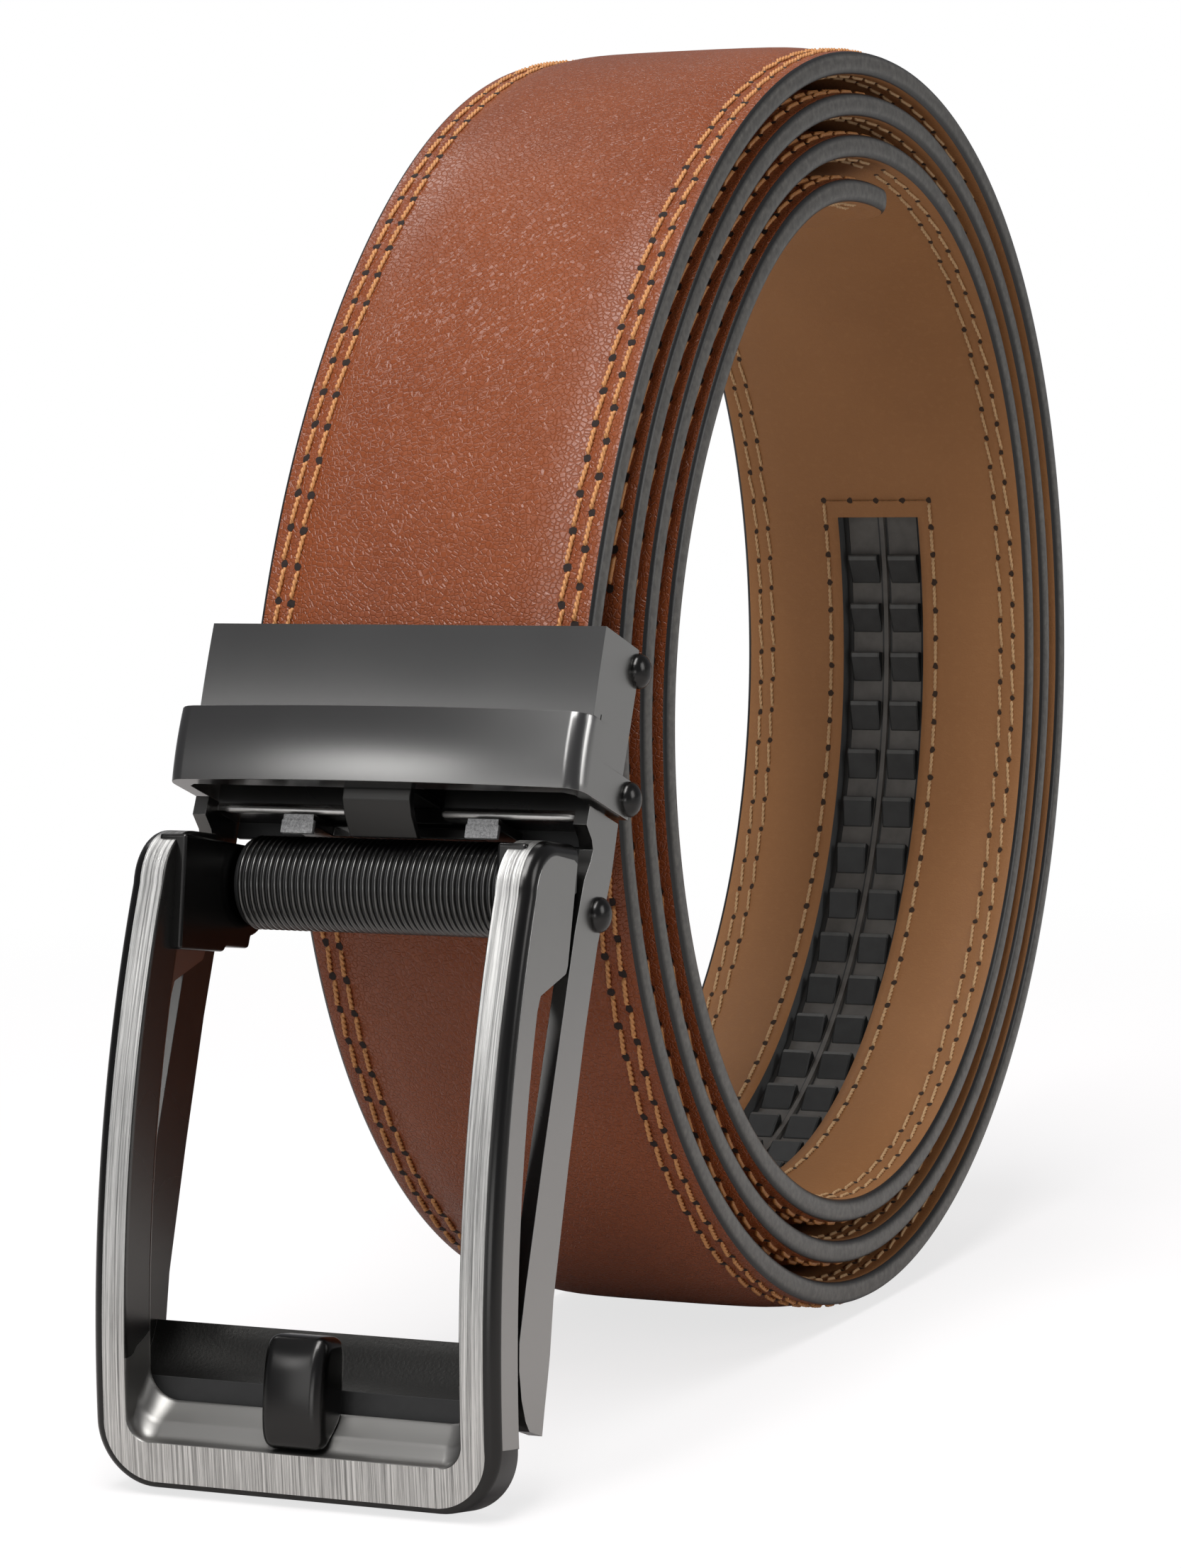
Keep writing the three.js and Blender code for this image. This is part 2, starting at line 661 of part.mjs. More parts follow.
// Spring tab that hangs in the bridge's notch and curls back over the ribbed bar.
function keeperTab() {
  const front = keeperFront + keeperThickness + seatGap;
  const outline = [[front, keeperFoot + 1.9], [front + 0.1, bridgeFoot + 0.4],
    [front + 0.9, bridgeFoot - 0.9], [front + 2.7, barTop - 0.95]];
  const rear = outline.map(([y, z]) => [y + tabThickness, z + 0.15]).reverse();
  const plateShape = extrudeAlongX([...outline, ...rear], -tabWidth / 2, tabWidth / 2);
  const rootFoot = bridgeFoot + bridgeThickness + seatGap;
  const root = boxBetween([-tabWidth / 2 + 0.5, front + 0.4, rootFoot],
    [tabWidth / 2 - 0.5, bridgeRear - bridgeWall - seatGap, rootFoot + tabThickness]);
  return join([plateShape, root]);
}

// Pawl: two fingers over the ribbed bar on a plate that rises behind them to the bridge.
function pawl() {
  const foot = pawlTop - pawlThickness;
  const fingers = [-1, 1].map((side) => boxBetween(
    [side * pawlFingerCentre - pawlFingerWidth / 2, pawlFront, foot],
    [side * pawlFingerCentre + pawlFingerWidth / 2, bridgeRear, pawlTop],
  ));
  const reach = pawlFingerCentre + pawlFingerWidth / 2;
  const web = boxBetween([-reach, bridgeRear - 1, foot], [reach, bridgeRear, pawlTop]);
  return join([...fingers, web]);
}

function ribbedBar() {
  const end = barLength / 2;
  const bevel = 0.4;
  const profile = [[0, -end], [barRadius - bevel, -end], [barRadius, -end + bevel],
    [barRadius, end - bevel], [barRadius - bevel, end], [0, end]];
  const bar = new THREE.LatheGeometry(profile.map(([r, x]) => new THREE.Vector2(r, x)), 28);
  return toGeometry(toSolid(bar)).rotateZ(Math.PI / 2).translate(0, ...barAt);
}

// A domed rivet on the right side: its head lies on a face and its shaft reaches in.
function rivet([y, z], faceAt, shaftTo) {
  const face = faceAt + 0.05;
  const dome = [{ reach: 1, rise: 0 }, { reach: 1, rise: 0.2 }, { reach: 0.82, rise: 0.66 },
    { reach: 0.5, rise: 0.93 }, { reach: 0, rise: 1 }];
  const profile = [[0, shaftTo], [rivetShaftRadius, shaftTo], [rivetShaftRadius, face],
    ...dome.map(({ reach, rise }) => [reach * rivetHeadRadius, face + rise * rivetHeadHeight])];
  const body = new THREE.LatheGeometry(profile.map(([r, x]) => new THREE.Vector2(r, x)), 12);
  return toGeometry(toSolid(body)).rotateZ(-Math.PI / 2).translate(0, y, z);
}

// Front frame

// Rings along one side bar, the foot's corner and half of the foot, all on the right side.
function frameRings() {
  const rings = [];
  const ledgeShape = [{ depth: 0.35, rise: 0.12 }, { depth: 0.7, rise: 0.55 }, { depth: 1, rise: 1 }];
  const place = (outer, inwardDir, turn, at) => {
    const width = frameSideWidth + (frameFootHeight - frameSideWidth) * turn;
    const chamfer = frameChamfer + (footChamfer - frameChamfer) * turn;
    const rise = ledgeRise * turn * turn;
    const section = [
      { a: chamfer, d: 0 },
      { a: width, d: 0 },
      ...ledgeShape.map((row) => ({ a: width + rise * row.rise, d: frameDepth * row.depth })),
      { a: 0, d: frameDepth },
      { a: 0, d: chamfer },
    ];
    rings.push(section.map(({ a, d }) => at(outer[0] + inwardDir[0] * a, outer[1] + inwardDir[1] * a, d)));
  };
  const upright = (x, z, d) => new THREE.Vector3(x, frameFrontAt(z) + d, z);
  const shoulder = frameTop - frameShoulderRadius;
  const shoulderY = frameFrontAt(shoulder) + frameShoulderRadius;
  place([half, 0], [-1, 0], 0, (x, z, d) => new THREE.Vector3(x, earRear, frameTop - d));
  for (const angle of [90, 70, 50, 30, 12]) {
    const [up, ahead] = [Math.sin(radians(angle)), Math.cos(radians(angle))];
    place([half, 0], [-1, 0], 0, (x, z, d) => new THREE.Vector3(x,
      shoulderY - (frameShoulderRadius - d) * ahead, shoulder + (frameShoulderRadius - d) * up));
  }
  const cornerZ = frameFoot + frameCornerRadius;
  const uprightSteps = 9;
  for (let i = 0; i < uprightSteps; i += 1) {
    place([half, shoulder + (cornerZ - shoulder) * i / uprightSteps], [-1, 0], 0, upright);
  }
  const cornerSteps = 7;
  for (let i = 0; i <= cornerSteps; i += 1) {
    const turn = i / cornerSteps;
    const direction = [Math.cos(radians(-90 * turn)), Math.sin(radians(-90 * turn))];
    const outer = [half - frameCornerRadius + direction[0] * frameCornerRadius,
      cornerZ + direction[1] * frameCornerRadius];
    place(outer, [-direction[0], -direction[1]], turn, upright);
  }
  place([0, frameFoot], [0, 1], 1, upright);
  return rings;
}

function frontFrame() {
  const right = frameRings();
  const left = right.slice(0, -1).reverse()
    .map((ring) => ring.map((p) => new THREE.Vector3(-p.x, p.y, p.z)));
  const cap = right[0].map((p) => new THREE.Vector2(p.x, p.z));
  const bars = loft([...right, ...left], cap);
  const barRear = frameFrontAt(earFoot) + frameDepth;
  const lap = 1.2;
  const ear = extrudeAlongX([[barRear - lap, frameTop - 2], [earRear, frameTop - 2], [earLowRear, earFoot],
    [barRear, earFoot - earTaper], [barRear - lap, earFoot - earTaper]], half - frameSideWidth, half);
  const cheekOuter = innerHalf - seatGap;
  const cheek = extrudeAlongX([[barRear - lap, frameTop - 0.4], ...arc([0, 0], bossRadius, 80, -80, 12),
    [bossRadius * 0.1, -cheekFoot], [-bossRadius * 0.9, -cheekFoot], [-bossRadius, -cheekFoot - 0.5],
    [barRear - lap, -cheekFoot - 0.6]], cheekOuter - cheekThickness, cheekOuter);
  const body = join([bars, ear, mirrorX(ear), cheek, mirrorX(cheek)]);
  const [pinY, pinZ] = hingePinAt;
  return cut(body, boreTools([[pinY * Math.cos(swing) + pinZ * Math.sin(swing),
    pinZ * Math.cos(swing) - pinY * Math.sin(swing)]]));
}

// Prong: a rounded stub with a bellied front, its foot sloped to sit on the frame's ledge.
function prong() {
  const [foot, front, rear] = [prongFoot, prongFront, prongRear];
  const top = foot + prongHeight;
  const belly = 0.7;
  const ledge = (share) => foot + ledgeRise * share;
  const rows = [
    [front + 0.5, foot - 0.1],
    [front, foot + 0.9],
    [front - belly * 0.75, foot + prongHeight * 0.3],
    [front - belly, foot + prongHeight * 0.55],
    [front - belly * 0.8, foot + prongHeight * 0.8],
    [front - belly * 0.2, top - 0.6],
    [front + 0.7, top],
    [rear - 0.9, top],
    [rear, top - 0.9],
    [rear, ledge(1.05)],
    [front + prongDepth * 0.75, ledge(0.56)],
    [front + prongDepth * 0.4, ledge(0.16)],
  ];
  const outline = rows.map(([y, z]) => new THREE.Vector2(y, z));
  const edge = 0.7;
  const ring = (x, shrink) => outline.map((p) => {
    const middle = new THREE.Vector2((front + rear) / 2, (foot + top) / 2);
    const size = new THREE.Vector2(prongDepth, prongHeight);
    const scaled = p.clone().sub(middle);
    scaled.x *= 1 - 2 * shrink / size.x;
    scaled.y *= 1 - 2 * shrink / size.y;
    return new THREE.Vector3(x, middle.x + scaled.x, middle.y + scaled.y);
  });
  const side = prongWidth / 2;
  return loft([ring(-side, edge), ring(-side + edge, 0), ring(side - edge, 0), ring(side, edge)], outline);
}

// Assembly

const belt = new THREE.Group();
belt.add(named('strap_leather', strapLeather(), 'leather'));
belt.add(named('strap_lining', strapLining(), 'lining'));
belt.add(named('ratchet_track', ratchetTrack(), 'rubber'));

const buckle = new THREE.Group();
buckle.applyMatrix4(toBuckle);
buckle.add(named('clamp_cover', clampCover(), 'gunmetal'));
buckle.add(named('clamp_chassis', clampChassis(), 'dark'));
buckle.add(named('keeper', keeperLoop(), 'gunmetal'));
buckle.add(named('keeper_tab', keeperTab(), 'dark'));
buckle.add(named('base_arms', baseArms(), 'gunmetal'));
buckle.add(named('pawl', pawl(), 'steel'));
buckle.add(named('ribbed_bar', ribbedBar(), 'dark'));

const shaftSeat = innerHalf - seatGap - chassisPlate - 0.1;
const hingeShaftSeat = barLength / 2 + 2 * seatGap;
const postShaftSeat = shaftSeat - seatGap - 1.2;
const rivets = [
  { name: 'clamp_rivet', at: clampRivetAt, face: half, shaftTo: shaftSeat },
  { name: 'keeper_rivet', at: keeperRivetAt, face: half + keeperProud, shaftTo: postShaftSeat },
  { name: 'hinge_rivet', at: hingePinAt, face: half, shaftTo: hingeShaftSeat },
];
for (const { name, at, face, shaftTo } of rivets) {
  const right = rivet(at, face, shaftTo);
  buckle.add(named(`${name}_right`, right, 'gunmetal'));
  buckle.add(named(`${name}_left`, mirrorX(right), 'gunmetal'));
}

const frameGroup = new THREE.Group();
frameGroup.applyMatrix4(toFrame);
frameGroup.add(named('front_frame', frontFrame(), 'brushed'));
frameGroup.add(named('prong', prong(), 'dark'));

const group = new THREE.Group();
group.add(belt, buckle, frameGroup);

// The origin sits on the floor under the middle of the whole belt.
group.updateMatrixWorld(true);
const bounds = new THREE.Box3().setFromObject(group, true);
const centre = bounds.getCenter(new THREE.Vector3());
group.position.set(-centre.x, -centre.y, -bounds.min.z);

export default group;
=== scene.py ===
"""Looks for a ratchet belt that is coiled up on its edge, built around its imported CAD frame."""

import json
import math

import bmesh
import bpy
import numpy as np
from mathutils import Matrix, Vector


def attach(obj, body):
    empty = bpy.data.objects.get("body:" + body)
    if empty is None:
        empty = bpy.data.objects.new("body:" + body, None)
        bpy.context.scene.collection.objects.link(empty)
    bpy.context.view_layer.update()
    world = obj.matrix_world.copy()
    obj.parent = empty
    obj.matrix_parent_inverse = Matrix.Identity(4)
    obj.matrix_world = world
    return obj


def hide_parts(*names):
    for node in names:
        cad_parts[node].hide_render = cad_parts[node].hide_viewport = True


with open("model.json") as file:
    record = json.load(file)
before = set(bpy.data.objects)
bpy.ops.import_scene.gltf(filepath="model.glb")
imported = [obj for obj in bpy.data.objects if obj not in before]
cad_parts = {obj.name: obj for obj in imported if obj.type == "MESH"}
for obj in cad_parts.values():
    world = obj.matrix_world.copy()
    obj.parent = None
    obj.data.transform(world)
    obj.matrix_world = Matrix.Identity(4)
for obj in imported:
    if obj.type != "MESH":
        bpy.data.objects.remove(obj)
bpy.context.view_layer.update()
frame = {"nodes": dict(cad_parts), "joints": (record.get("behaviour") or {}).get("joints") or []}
rng = np.random.default_rng(7)
MM = 0.001

# Sizes in millimetres, as in the CAD part
BUCKLE_LEAN, FRAME_LEAN = 21.0, 9.8
HINGE_DROP = 1.1
LEAN = math.radians(BUCKLE_LEAN)
UP_ALONG_BUCKLE = np.array([0, math.sin(LEAN), math.cos(LEAN)])
ORIGIN = np.array(frame["joints"][0]["pos_m"]) / MM + HINGE_DROP * UP_ALONG_BUCKLE
COIL_RADIUS, TURN_PITCH, SIDE_SLACK = 67.5, 4.3, 1.1
ORIGIN_TO_COIL = 71.794
OUTLINE = [0.967, 0.927, 0.973, 1.033, 1.027, 1.031, 1.033, 1.0]
EDGE_T, CAD_CROWN = 2.4, 1.4
TIP_ANGLE, TIP_DROOP, DROOP_SPAN, TIP_CORNER = 1186.0, 1.0, 30.0, 4.0
JOIN_ANGLE = 45.0
STRAP_SEAT, STRAP_END, CLAMP_TOP, STRAP_STRAIGHT = -2.0, 12.8, 24.5, 3.0
TRACK_FROM, TRACK_TO = 885.0, 1132.5
HALF_WIDTH = 17.5
BUCKLE_HALF = 20.5
BAR_RADIUS, BAR_LENGTH, BAR_UP = 4.45, 31.2, 0.9
PLATE = 1.4


def leaned(lean):
    """Takes points from a frame that leans about the buckle's origin to the row frame."""
    c, s = math.cos(math.radians(lean)), math.sin(math.radians(lean))

    def move(p):
        p = np.asarray(p, float)
        y = ORIGIN[1] + p[..., 1] * c + p[..., 2] * s
        z = ORIGIN[2] - p[..., 1] * s + p[..., 2] * c
        return np.stack([p[..., 0], y, z], -1)

    return move


in_buckle, in_front_frame = leaned(BUCKLE_LEAN), leaned(FRAME_LEAN)


# Strap path

def outline_reach(angle):
    rows = len(OUTLINE)
    place = (angle % 360) / (360 / rows)
    row = int(place)
    t = place - row
    a, b, c, d = (OUTLINE[(row + k) % rows] for k in (-1, 0, 1, 2))
    return b + 0.5 * t * (c - a + t * (2 * a - 5 * b + 4 * c - d + t * (3 * (b - c) + d - a)))


def coil_reach(angle):
    slack = SIDE_SLACK * math.cos(math.radians(angle)) ** 2
    droop = max(0.0, 1 - (TIP_ANGLE - angle) / DROOP_SPAN) ** 2 * TIP_DROOP
    return COIL_RADIUS * outline_reach(angle) - angle / 360 * (TURN_PITCH + slack) - EDGE_T / 2 - droop


COIL_Y = ORIGIN[1] + ORIGIN_TO_COIL
COIL_Z = max(-coil_reach(a) * math.sin(math.radians(a)) for a in range(180, 360)) + EDGE_T / 2 + CAD_CROWN


def coil_point(angle):
    r, a = coil_reach(angle), math.radians(angle)
    return np.array([COIL_Y - r * math.cos(a), COIL_Z + r * math.sin(a)])


def dense_path():
    start, end = (in_buckle([0, STRAP_SEAT, z])[1:] for z in (STRAP_END, CLAMP_TOP + STRAP_STRAIGHT))
    joint = coil_point(JOIN_ANGLE)
    along = (end - start) / np.linalg.norm(end - start)
    coilward = coil_point(JOIN_ANGLE + 1) - coil_point(JOIN_ANGLE - 1)
    coilward /= np.linalg.norm(coilward)
    reach = np.linalg.norm(joint - end) / 3
    p1, p2 = end + along * reach, joint - coilward * reach
    pts = [start + (end - start) * t for t in np.linspace(0, 1, 20, endpoint=False)]
    for t in np.linspace(0, 1, 30, endpoint=False):
        pts.append((1 - t) ** 3 * end + 3 * (1 - t) ** 2 * t * p1 + 3 * (1 - t) * t * t * p2 + t ** 3 * joint)
    pts += [coil_point(a) for a in np.arange(JOIN_ANGLE, TIP_ANGLE, 0.5)] + [coil_point(TIP_ANGLE)]
    return np.array(pts)


PATH = dense_path()
PATH_S = np.concatenate([[0], np.cumsum(np.linalg.norm(np.diff(PATH, axis=0), axis=1))])
LENGTH = PATH_S[-1]
TANGENT = np.gradient(PATH, PATH_S, axis=0)
TANGENT /= np.linalg.norm(TANGENT, axis=1)[:, None]
ANGLE_S = PATH_S[50:]
ANGLES = np.append(np.arange(JOIN_ANGLE, TIP_ANGLE, 0.5), TIP_ANGLE)


def s_at(angle):
    return float(np.interp(angle, ANGLES, ANGLE_S))


def strap_points(s, x, offset):
    """Points on the strap: s along it, x across it, offset from its middle line, outward positive."""
    s, x, offset = np.broadcast_arrays(np.asarray(s, float), x, offset)
    y, z = np.interp(s, PATH_S, PATH[:, 0]), np.interp(s, PATH_S, PATH[:, 1])
    ty, tz = np.interp(s, PATH_S, TANGENT[:, 0]), np.interp(s, PATH_S, TANGENT[:, 1])
    past = s - np.clip(s, 0, LENGTH)
    return np.stack([x, y - tz * offset + ty * past, z + ty * offset + tz * past], -1)


TRACK_S0, TRACK_S1 = s_at(TRACK_FROM), s_at(TRACK_TO)
WINDOW_S0, WINDOW_S1 = TRACK_S0, TRACK_S1 - 1.2


def half_width_at(s):
    notch = np.clip(TIP_CORNER - (LENGTH - s), 0, TIP_CORNER)
    return HALF_WIDTH - (TIP_CORNER - np.sqrt(TIP_CORNER ** 2 - notch ** 2))


# Half of the strap's face: distance from the middle, and height over the middle line
FACE = [(0, 2.02), (3, 2.02), (6, 2.0), (8.5, 1.96), (10, 1.9), (11.2, 1.8), (12.2, 1.66), (13, 1.5),
        (13.6, 1.38), (14, 1.29), (14.35, 1.25), (14.8, 1.3), (15.2, 1.3), (15.55, 1.22), (15.8, 1.2),
        (16.2, 1.24), (16.7, 1.24), (17.05, 1.17)]
FACE_X = np.array([x for x, _ in FACE])
FACE_H = np.array([h for _, h in FACE])
ROWS = (14.2, 15.7)
STITCH_PITCH = 3.65


def face_height(x, s=None):
    """Height of the leather over the middle line, with its puckers between stitch holes where s is given."""
    height = np.interp(np.abs(x), FACE_X, FACE_H)
    if s is None:
        return height
    near = np.exp(-((np.abs(x) - sum(ROWS) / 2) / 1.3) ** 2)
    return height + near * 0.07 * np.cos(2 * np.pi * np.asarray(s) / STITCH_PITCH)


# Mesh helpers

def make_object(name, verts, faces, materials, indices=None, smooth=True, uv=None):
    mesh = bpy.data.meshes.new(name)
    mesh.from_pydata((np.asarray(verts) * MM).tolist(), [], [tuple(int(i) for i in f) for f in faces])
    for m in materials:
        mesh.materials.append(m)
    if indices is not None:
        mesh.polygons.foreach_set("material_index", np.asarray(indices, np.int32))
    if uv is not None:
        layer = mesh.uv_layers.new(name="along")
        loops = np.zeros(len(mesh.loops), np.int32)
        mesh.loops.foreach_get("vertex_index", loops)
        layer.data.foreach_set("uv", (np.asarray(uv)[loops]).astype(np.float32).ravel())
    mesh.polygons.foreach_set("use_smooth", np.full(len(mesh.polygons), smooth))
    mesh.update()
    obj = bpy.data.objects.new(name, mesh)
    bpy.context.scene.collection.objects.link(obj)
    return obj


def grid_faces(rows, cols, close_rows=False, close_cols=False, start=0):
    r, c = np.meshgrid(np.arange(rows if close_rows else rows - 1),
                       np.arange(cols if close_cols else cols - 1), indexing="ij")
    r2, c2 = (r + 1) % rows, (c + 1) % cols
    quads = np.stack([r * cols + c, r * cols + c2, r2 * cols + c2, r2 * cols + c], -1)
    return quads.reshape(-1, 4) + start


def finish_piece(obj, body, node_names=()):
    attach(obj, body)
    if node_names:
        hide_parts(*node_names)
    return obj


# Materials

class Nodes:
    """A short way to build one procedural material."""

    def __init__(self, name, **values):
        self.mat = bpy.data.materials.new(name)
        self.mat.use_nodes = True
        self.tree = self.mat.node_tree
        self.shader = self.tree.nodes["Principled BSDF"]
        for key, value in values.items():
            self.shader.inputs[key.replace("_", " ")].default_value = value

    def add(self, kind, inputs=None, **settings):
        node = self.tree.nodes.new(kind)
        for key, value in settings.items():
            setattr(node, key, value)
        for key, value in (inputs or {}).items():
            if isinstance(value, bpy.types.NodeSocket):
                self.tree.links.new(value, node.inputs[key])
            else:
                node.inputs[key].default_value = value
        return node

    def coords(self, scale, kind="Object"):
        if kind == "along":
            source = self.add("ShaderNodeUVMap", uv_map="along").outputs["UV"]
        else:
            source = self.add("ShaderNodeTexCoord").outputs[kind]
        return self.add("ShaderNodeMapping", {"Vector": source, "Scale": scale}).outputs["Vector"]

    def noise(self, vector, scale, detail=4.0, rough=0.55):
        return self.add("ShaderNodeTexNoise", {"Vector": vector, "Scale": scale, "Detail": detail,
                                               "Roughness": rough}).outputs["Fac"]

    def spread(self, value, lo, hi, to_lo=0.0, to_hi=1.0):
        return self.add("ShaderNodeMapRange", {"Value": value, "From Min": lo, "From Max": hi,
                                               "To Min": to_lo, "To Max": to_hi}).outputs["Result"]

    def mix(self, factor, a, b):
        node = self.add("ShaderNodeMix", data_type="RGBA")
        for index, value in ((0, factor), (6, a), (7, b)):
            if isinstance(value, bpy.types.NodeSocket):
                self.tree.links.new(value, node.inputs[index])
            else:
                node.inputs[index].default_value = value
        return node.outputs[2]

    def math(self, operation, a, b):
        node = self.add("ShaderNodeMath", operation=operation)
        for index, value in enumerate((a, b)):
            if isinstance(value, bpy.types.NodeSocket):
                self.tree.links.new(value, node.inputs[index])
            else:
                node.inputs[index].default_value = value
        return node.outputs[0]

    def to(self, name, socket):
        self.tree.links.new(socket, self.shader.inputs[name])

    def bump(self, height, strength, distance, below=None):
        inputs = {"Height": height, "Strength": strength, "Distance": distance}
        if below is not None:
            inputs["Normal"] = below
        return self.add("ShaderNodeBump", inputs).outputs["Normal"]


def leather(name, base, deep, light, rough, grain_depth, coat):
    m = Nodes(name, Base_Color=(*base, 1), Roughness=rough, Coat_Weight=coat, Coat_Roughness=0.22,
              Specular_IOR_Level=0.3)
    along = m.coords((1, 1, 1), "along")
    big = m.noise(along, 0.03, 3)
    fine = m.noise(along, 1.2, 5, 0.6)
    pebble = m.add("ShaderNodeTexVoronoi", {"Vector": along, "Scale": 2.1, "Randomness": 1.0},
                   feature="DISTANCE_TO_EDGE").outputs["Distance"]
    creases = m.noise(m.coords((0.35, 2.4, 1), "along"), 1.1, 4, 0.65)
    tone = m.mix(m.spread(big, 0.35, 0.65), (*deep, 1), (*base, 1))
    tone = m.mix(m.spread(fine, 0.5, 0.8, 0, 0.35), tone, (*light, 1))
    m.to("Base Color", tone)
    m.to("Roughness", m.spread(fine, 0.3, 0.7, rough - 0.05, rough + 0.08))
    grain = m.bump(m.spread(pebble, 0.0, 0.16), 0.75, grain_depth * MM)
    m.to("Normal", m.bump(creases, 0.35, 0.06 * MM, m.bump(fine, 0.3, 0.05 * MM, grain)))
    return m.mat


def metal(name, base, rough, streak=0.0, streak_scale=(1, 1, 1), bump=0.0, grain=0.0):
    m = Nodes(name, Base_Color=(*base, 1), Metallic=1.0, Roughness=rough)
    near = m.coords((1, 1, 1))
    cloud = m.noise(near, 60.0, 2)
    m.to("Roughness", m.spread(cloud, 0.0, 1.0, rough - 0.03, rough + 0.03))
    if grain:
        m.to("Normal", m.bump(m.noise(near, 3200.0, 4), grain, 0.05 * MM))
    if streak:
        lines = m.noise(m.coords(streak_scale), 1.0, 6, 0.85)
        m.to("Base Color", m.mix(m.spread(lines, 0.4, 0.6, 0, streak), (*base, 1),
                                 (*(v * 0.27 for v in base), 1)))
        m.to("Normal", m.bump(lines, bump, 0.05 * MM))
    return m.mat


OUTER = leather("outer_leather", (0.245, 0.062, 0.019), (0.195, 0.047, 0.015), (0.31, 0.09, 0.033), 0.3, 0.08,
                0.08)
LINING = leather("lining_leather", (0.33, 0.152, 0.056), (0.285, 0.127, 0.045), (0.39, 0.19, 0.08),
                 0.6, 0.015, 0.0)
GUNMETAL = metal("gunmetal", (0.36, 0.355, 0.345), 0.25)
# Darker copy of the gunmetal for the clamp's and keeper's fronts: painted shade.
PLATE_FRONT_SHADE = metal("front_plate_painted_shade", (0.17, 0.168, 0.164), 0.24)
# Darker copy of the gunmetal for the frame's inner walls, the arms' edges, the bridge, the chassis and the
# pawl's web: painted shade.
GUNMETAL_SHADE = metal("dark_gunmetal", (0.12, 0.118, 0.114), 0.27)
# Lighter copy of the gunmetal for the ledge on the frame's foot: painted light.
SATIN_LEDGE_LIGHT = metal("satin_ledge_painted_light", (0.24, 0.235, 0.225), 0.42)
TAB = metal("spring_tab", (0.06, 0.059, 0.057), 0.4)
# Near-black copy of the gunmetal for the scoop: painted shade; the grain bump is its texture.
SCOOP_SHADE = metal("scoop", (0.045, 0.044, 0.042), 0.33, grain=0.35)
# Near-black copy of the gunmetal for the frame's chamfers and outer walls, the cheeks, the prong and the
# rivet heads: painted shade.
GLOSS_SHADE = metal("black_chamfer_painted_shade", (0.045, 0.044, 0.043), 0.24)
# Bright copy of the gunmetal for a rod along the bridge's foot: painted highlight.
LIP_HIGHLIGHT = metal("wing_lip_painted_highlight", (0.62, 0.61, 0.59), 0.42, grain=0.4)
BRUSHED = metal("brushed_nickel", (0.82, 0.81, 0.785), 0.34, 1.0, (3600, 25, 25), 0.6)
STEEL = metal("bare_steel", (0.62, 0.62, 0.62), 0.6, 0.7, (3500, 3500, 3500), 0.9)
RIDGE = metal("bar_ridge", (0.13, 0.128, 0.124), 0.28)


def simple(name, base, rough, speck=0.2, scale=900.0, bump=0.3, specular=0.5):
    m = Nodes(name, Base_Color=(*base, 1), Roughness=rough, Specular_IOR_Level=specular)
    near = m.coords((1, 1, 1))
    grain = m.noise(near, scale, 4)
    m.to("Base Color", m.mix(m.spread(grain, 0.3, 0.7, 0, speck), (*base, 1),
                             (*(min(1.0, v * 2.2 + 0.01) for v in base), 1)))
    m.to("Normal", m.bump(grain, bump, 0.05 * MM))
    return m.mat


def edge_paint():
    """Painted edge: a grey bead; black on its rounded shoulders beside the leather is painted shade."""
    m = Nodes("edge_paint", Roughness=0.36)
    grain = m.noise(m.coords((1, 1, 1)), 1500.0, 4)
    speck = m.mix(m.spread(grain, 0.35, 0.7), (0.068, 0.064, 0.058, 1), (0.125, 0.118, 0.106, 1))
    split = m.add("ShaderNodeSeparateXYZ", {"Vector": m.coords((1, 1, 1), "along")})
    # Painted shade: black on the bead's rounded shoulders.
    rim_shade = m.spread(m.math("ABSOLUTE", split.outputs["X"], 0.0), 0.6, 1.0)
    m.to("Base Color", m.mix(rim_shade, speck, (0.006, 0.006, 0.006, 1)))
    m.to("Normal", m.bump(grain, 0.4, 0.05 * MM))
    return m.mat


EDGE_PAINT = edge_paint()
END_PAINT = simple("end_paint", (0.1, 0.098, 0.093), 0.4, 0.4, 1500.0, 0.4)
RUBBER = simple("track_rubber", (0.012, 0.013, 0.0125), 0.5, 0.4, 500.0, 0.3)
# Lighter copy of the rubber for cells of the track's floor strip and rib: painted light.
TRACK_PAINTED_LIGHT = simple("track_floor", (0.065, 0.06, 0.053), 0.5, 0.4, 500.0, 0.3)
# Lighter copy of the rubber for the teeth's crests: painted highlight.
TRACK_CREST_HIGHLIGHT = simple("track_crest_painted_highlight", (0.05, 0.051, 0.048), 0.45, 0.4, 500.0, 0.3)
# Near-black: painted shade for filler sheets, the bar's grooves and the scoop's skirt.
SHADE = simple("buckle_painted_shade", (0.006, 0.006, 0.006), 0.6)
THREAD = simple("stitch_thread", (0.4, 0.175, 0.056), 0.5, 0.5, 4000.0, 0.6)
LINING_THREAD = simple("lining_thread", (0.42, 0.26, 0.125), 0.55, 0.4, 4000.0, 0.5)
# Near-black discs over the stitch holes: painted shade.
HOLE = simple("stitch_hole_painted_shade", (0.012, 0.005, 0.003), 0.9)
LINING_HOLE = simple("lining_hole_painted_shade", (0.03, 0.015, 0.007), 0.9)


# Strap

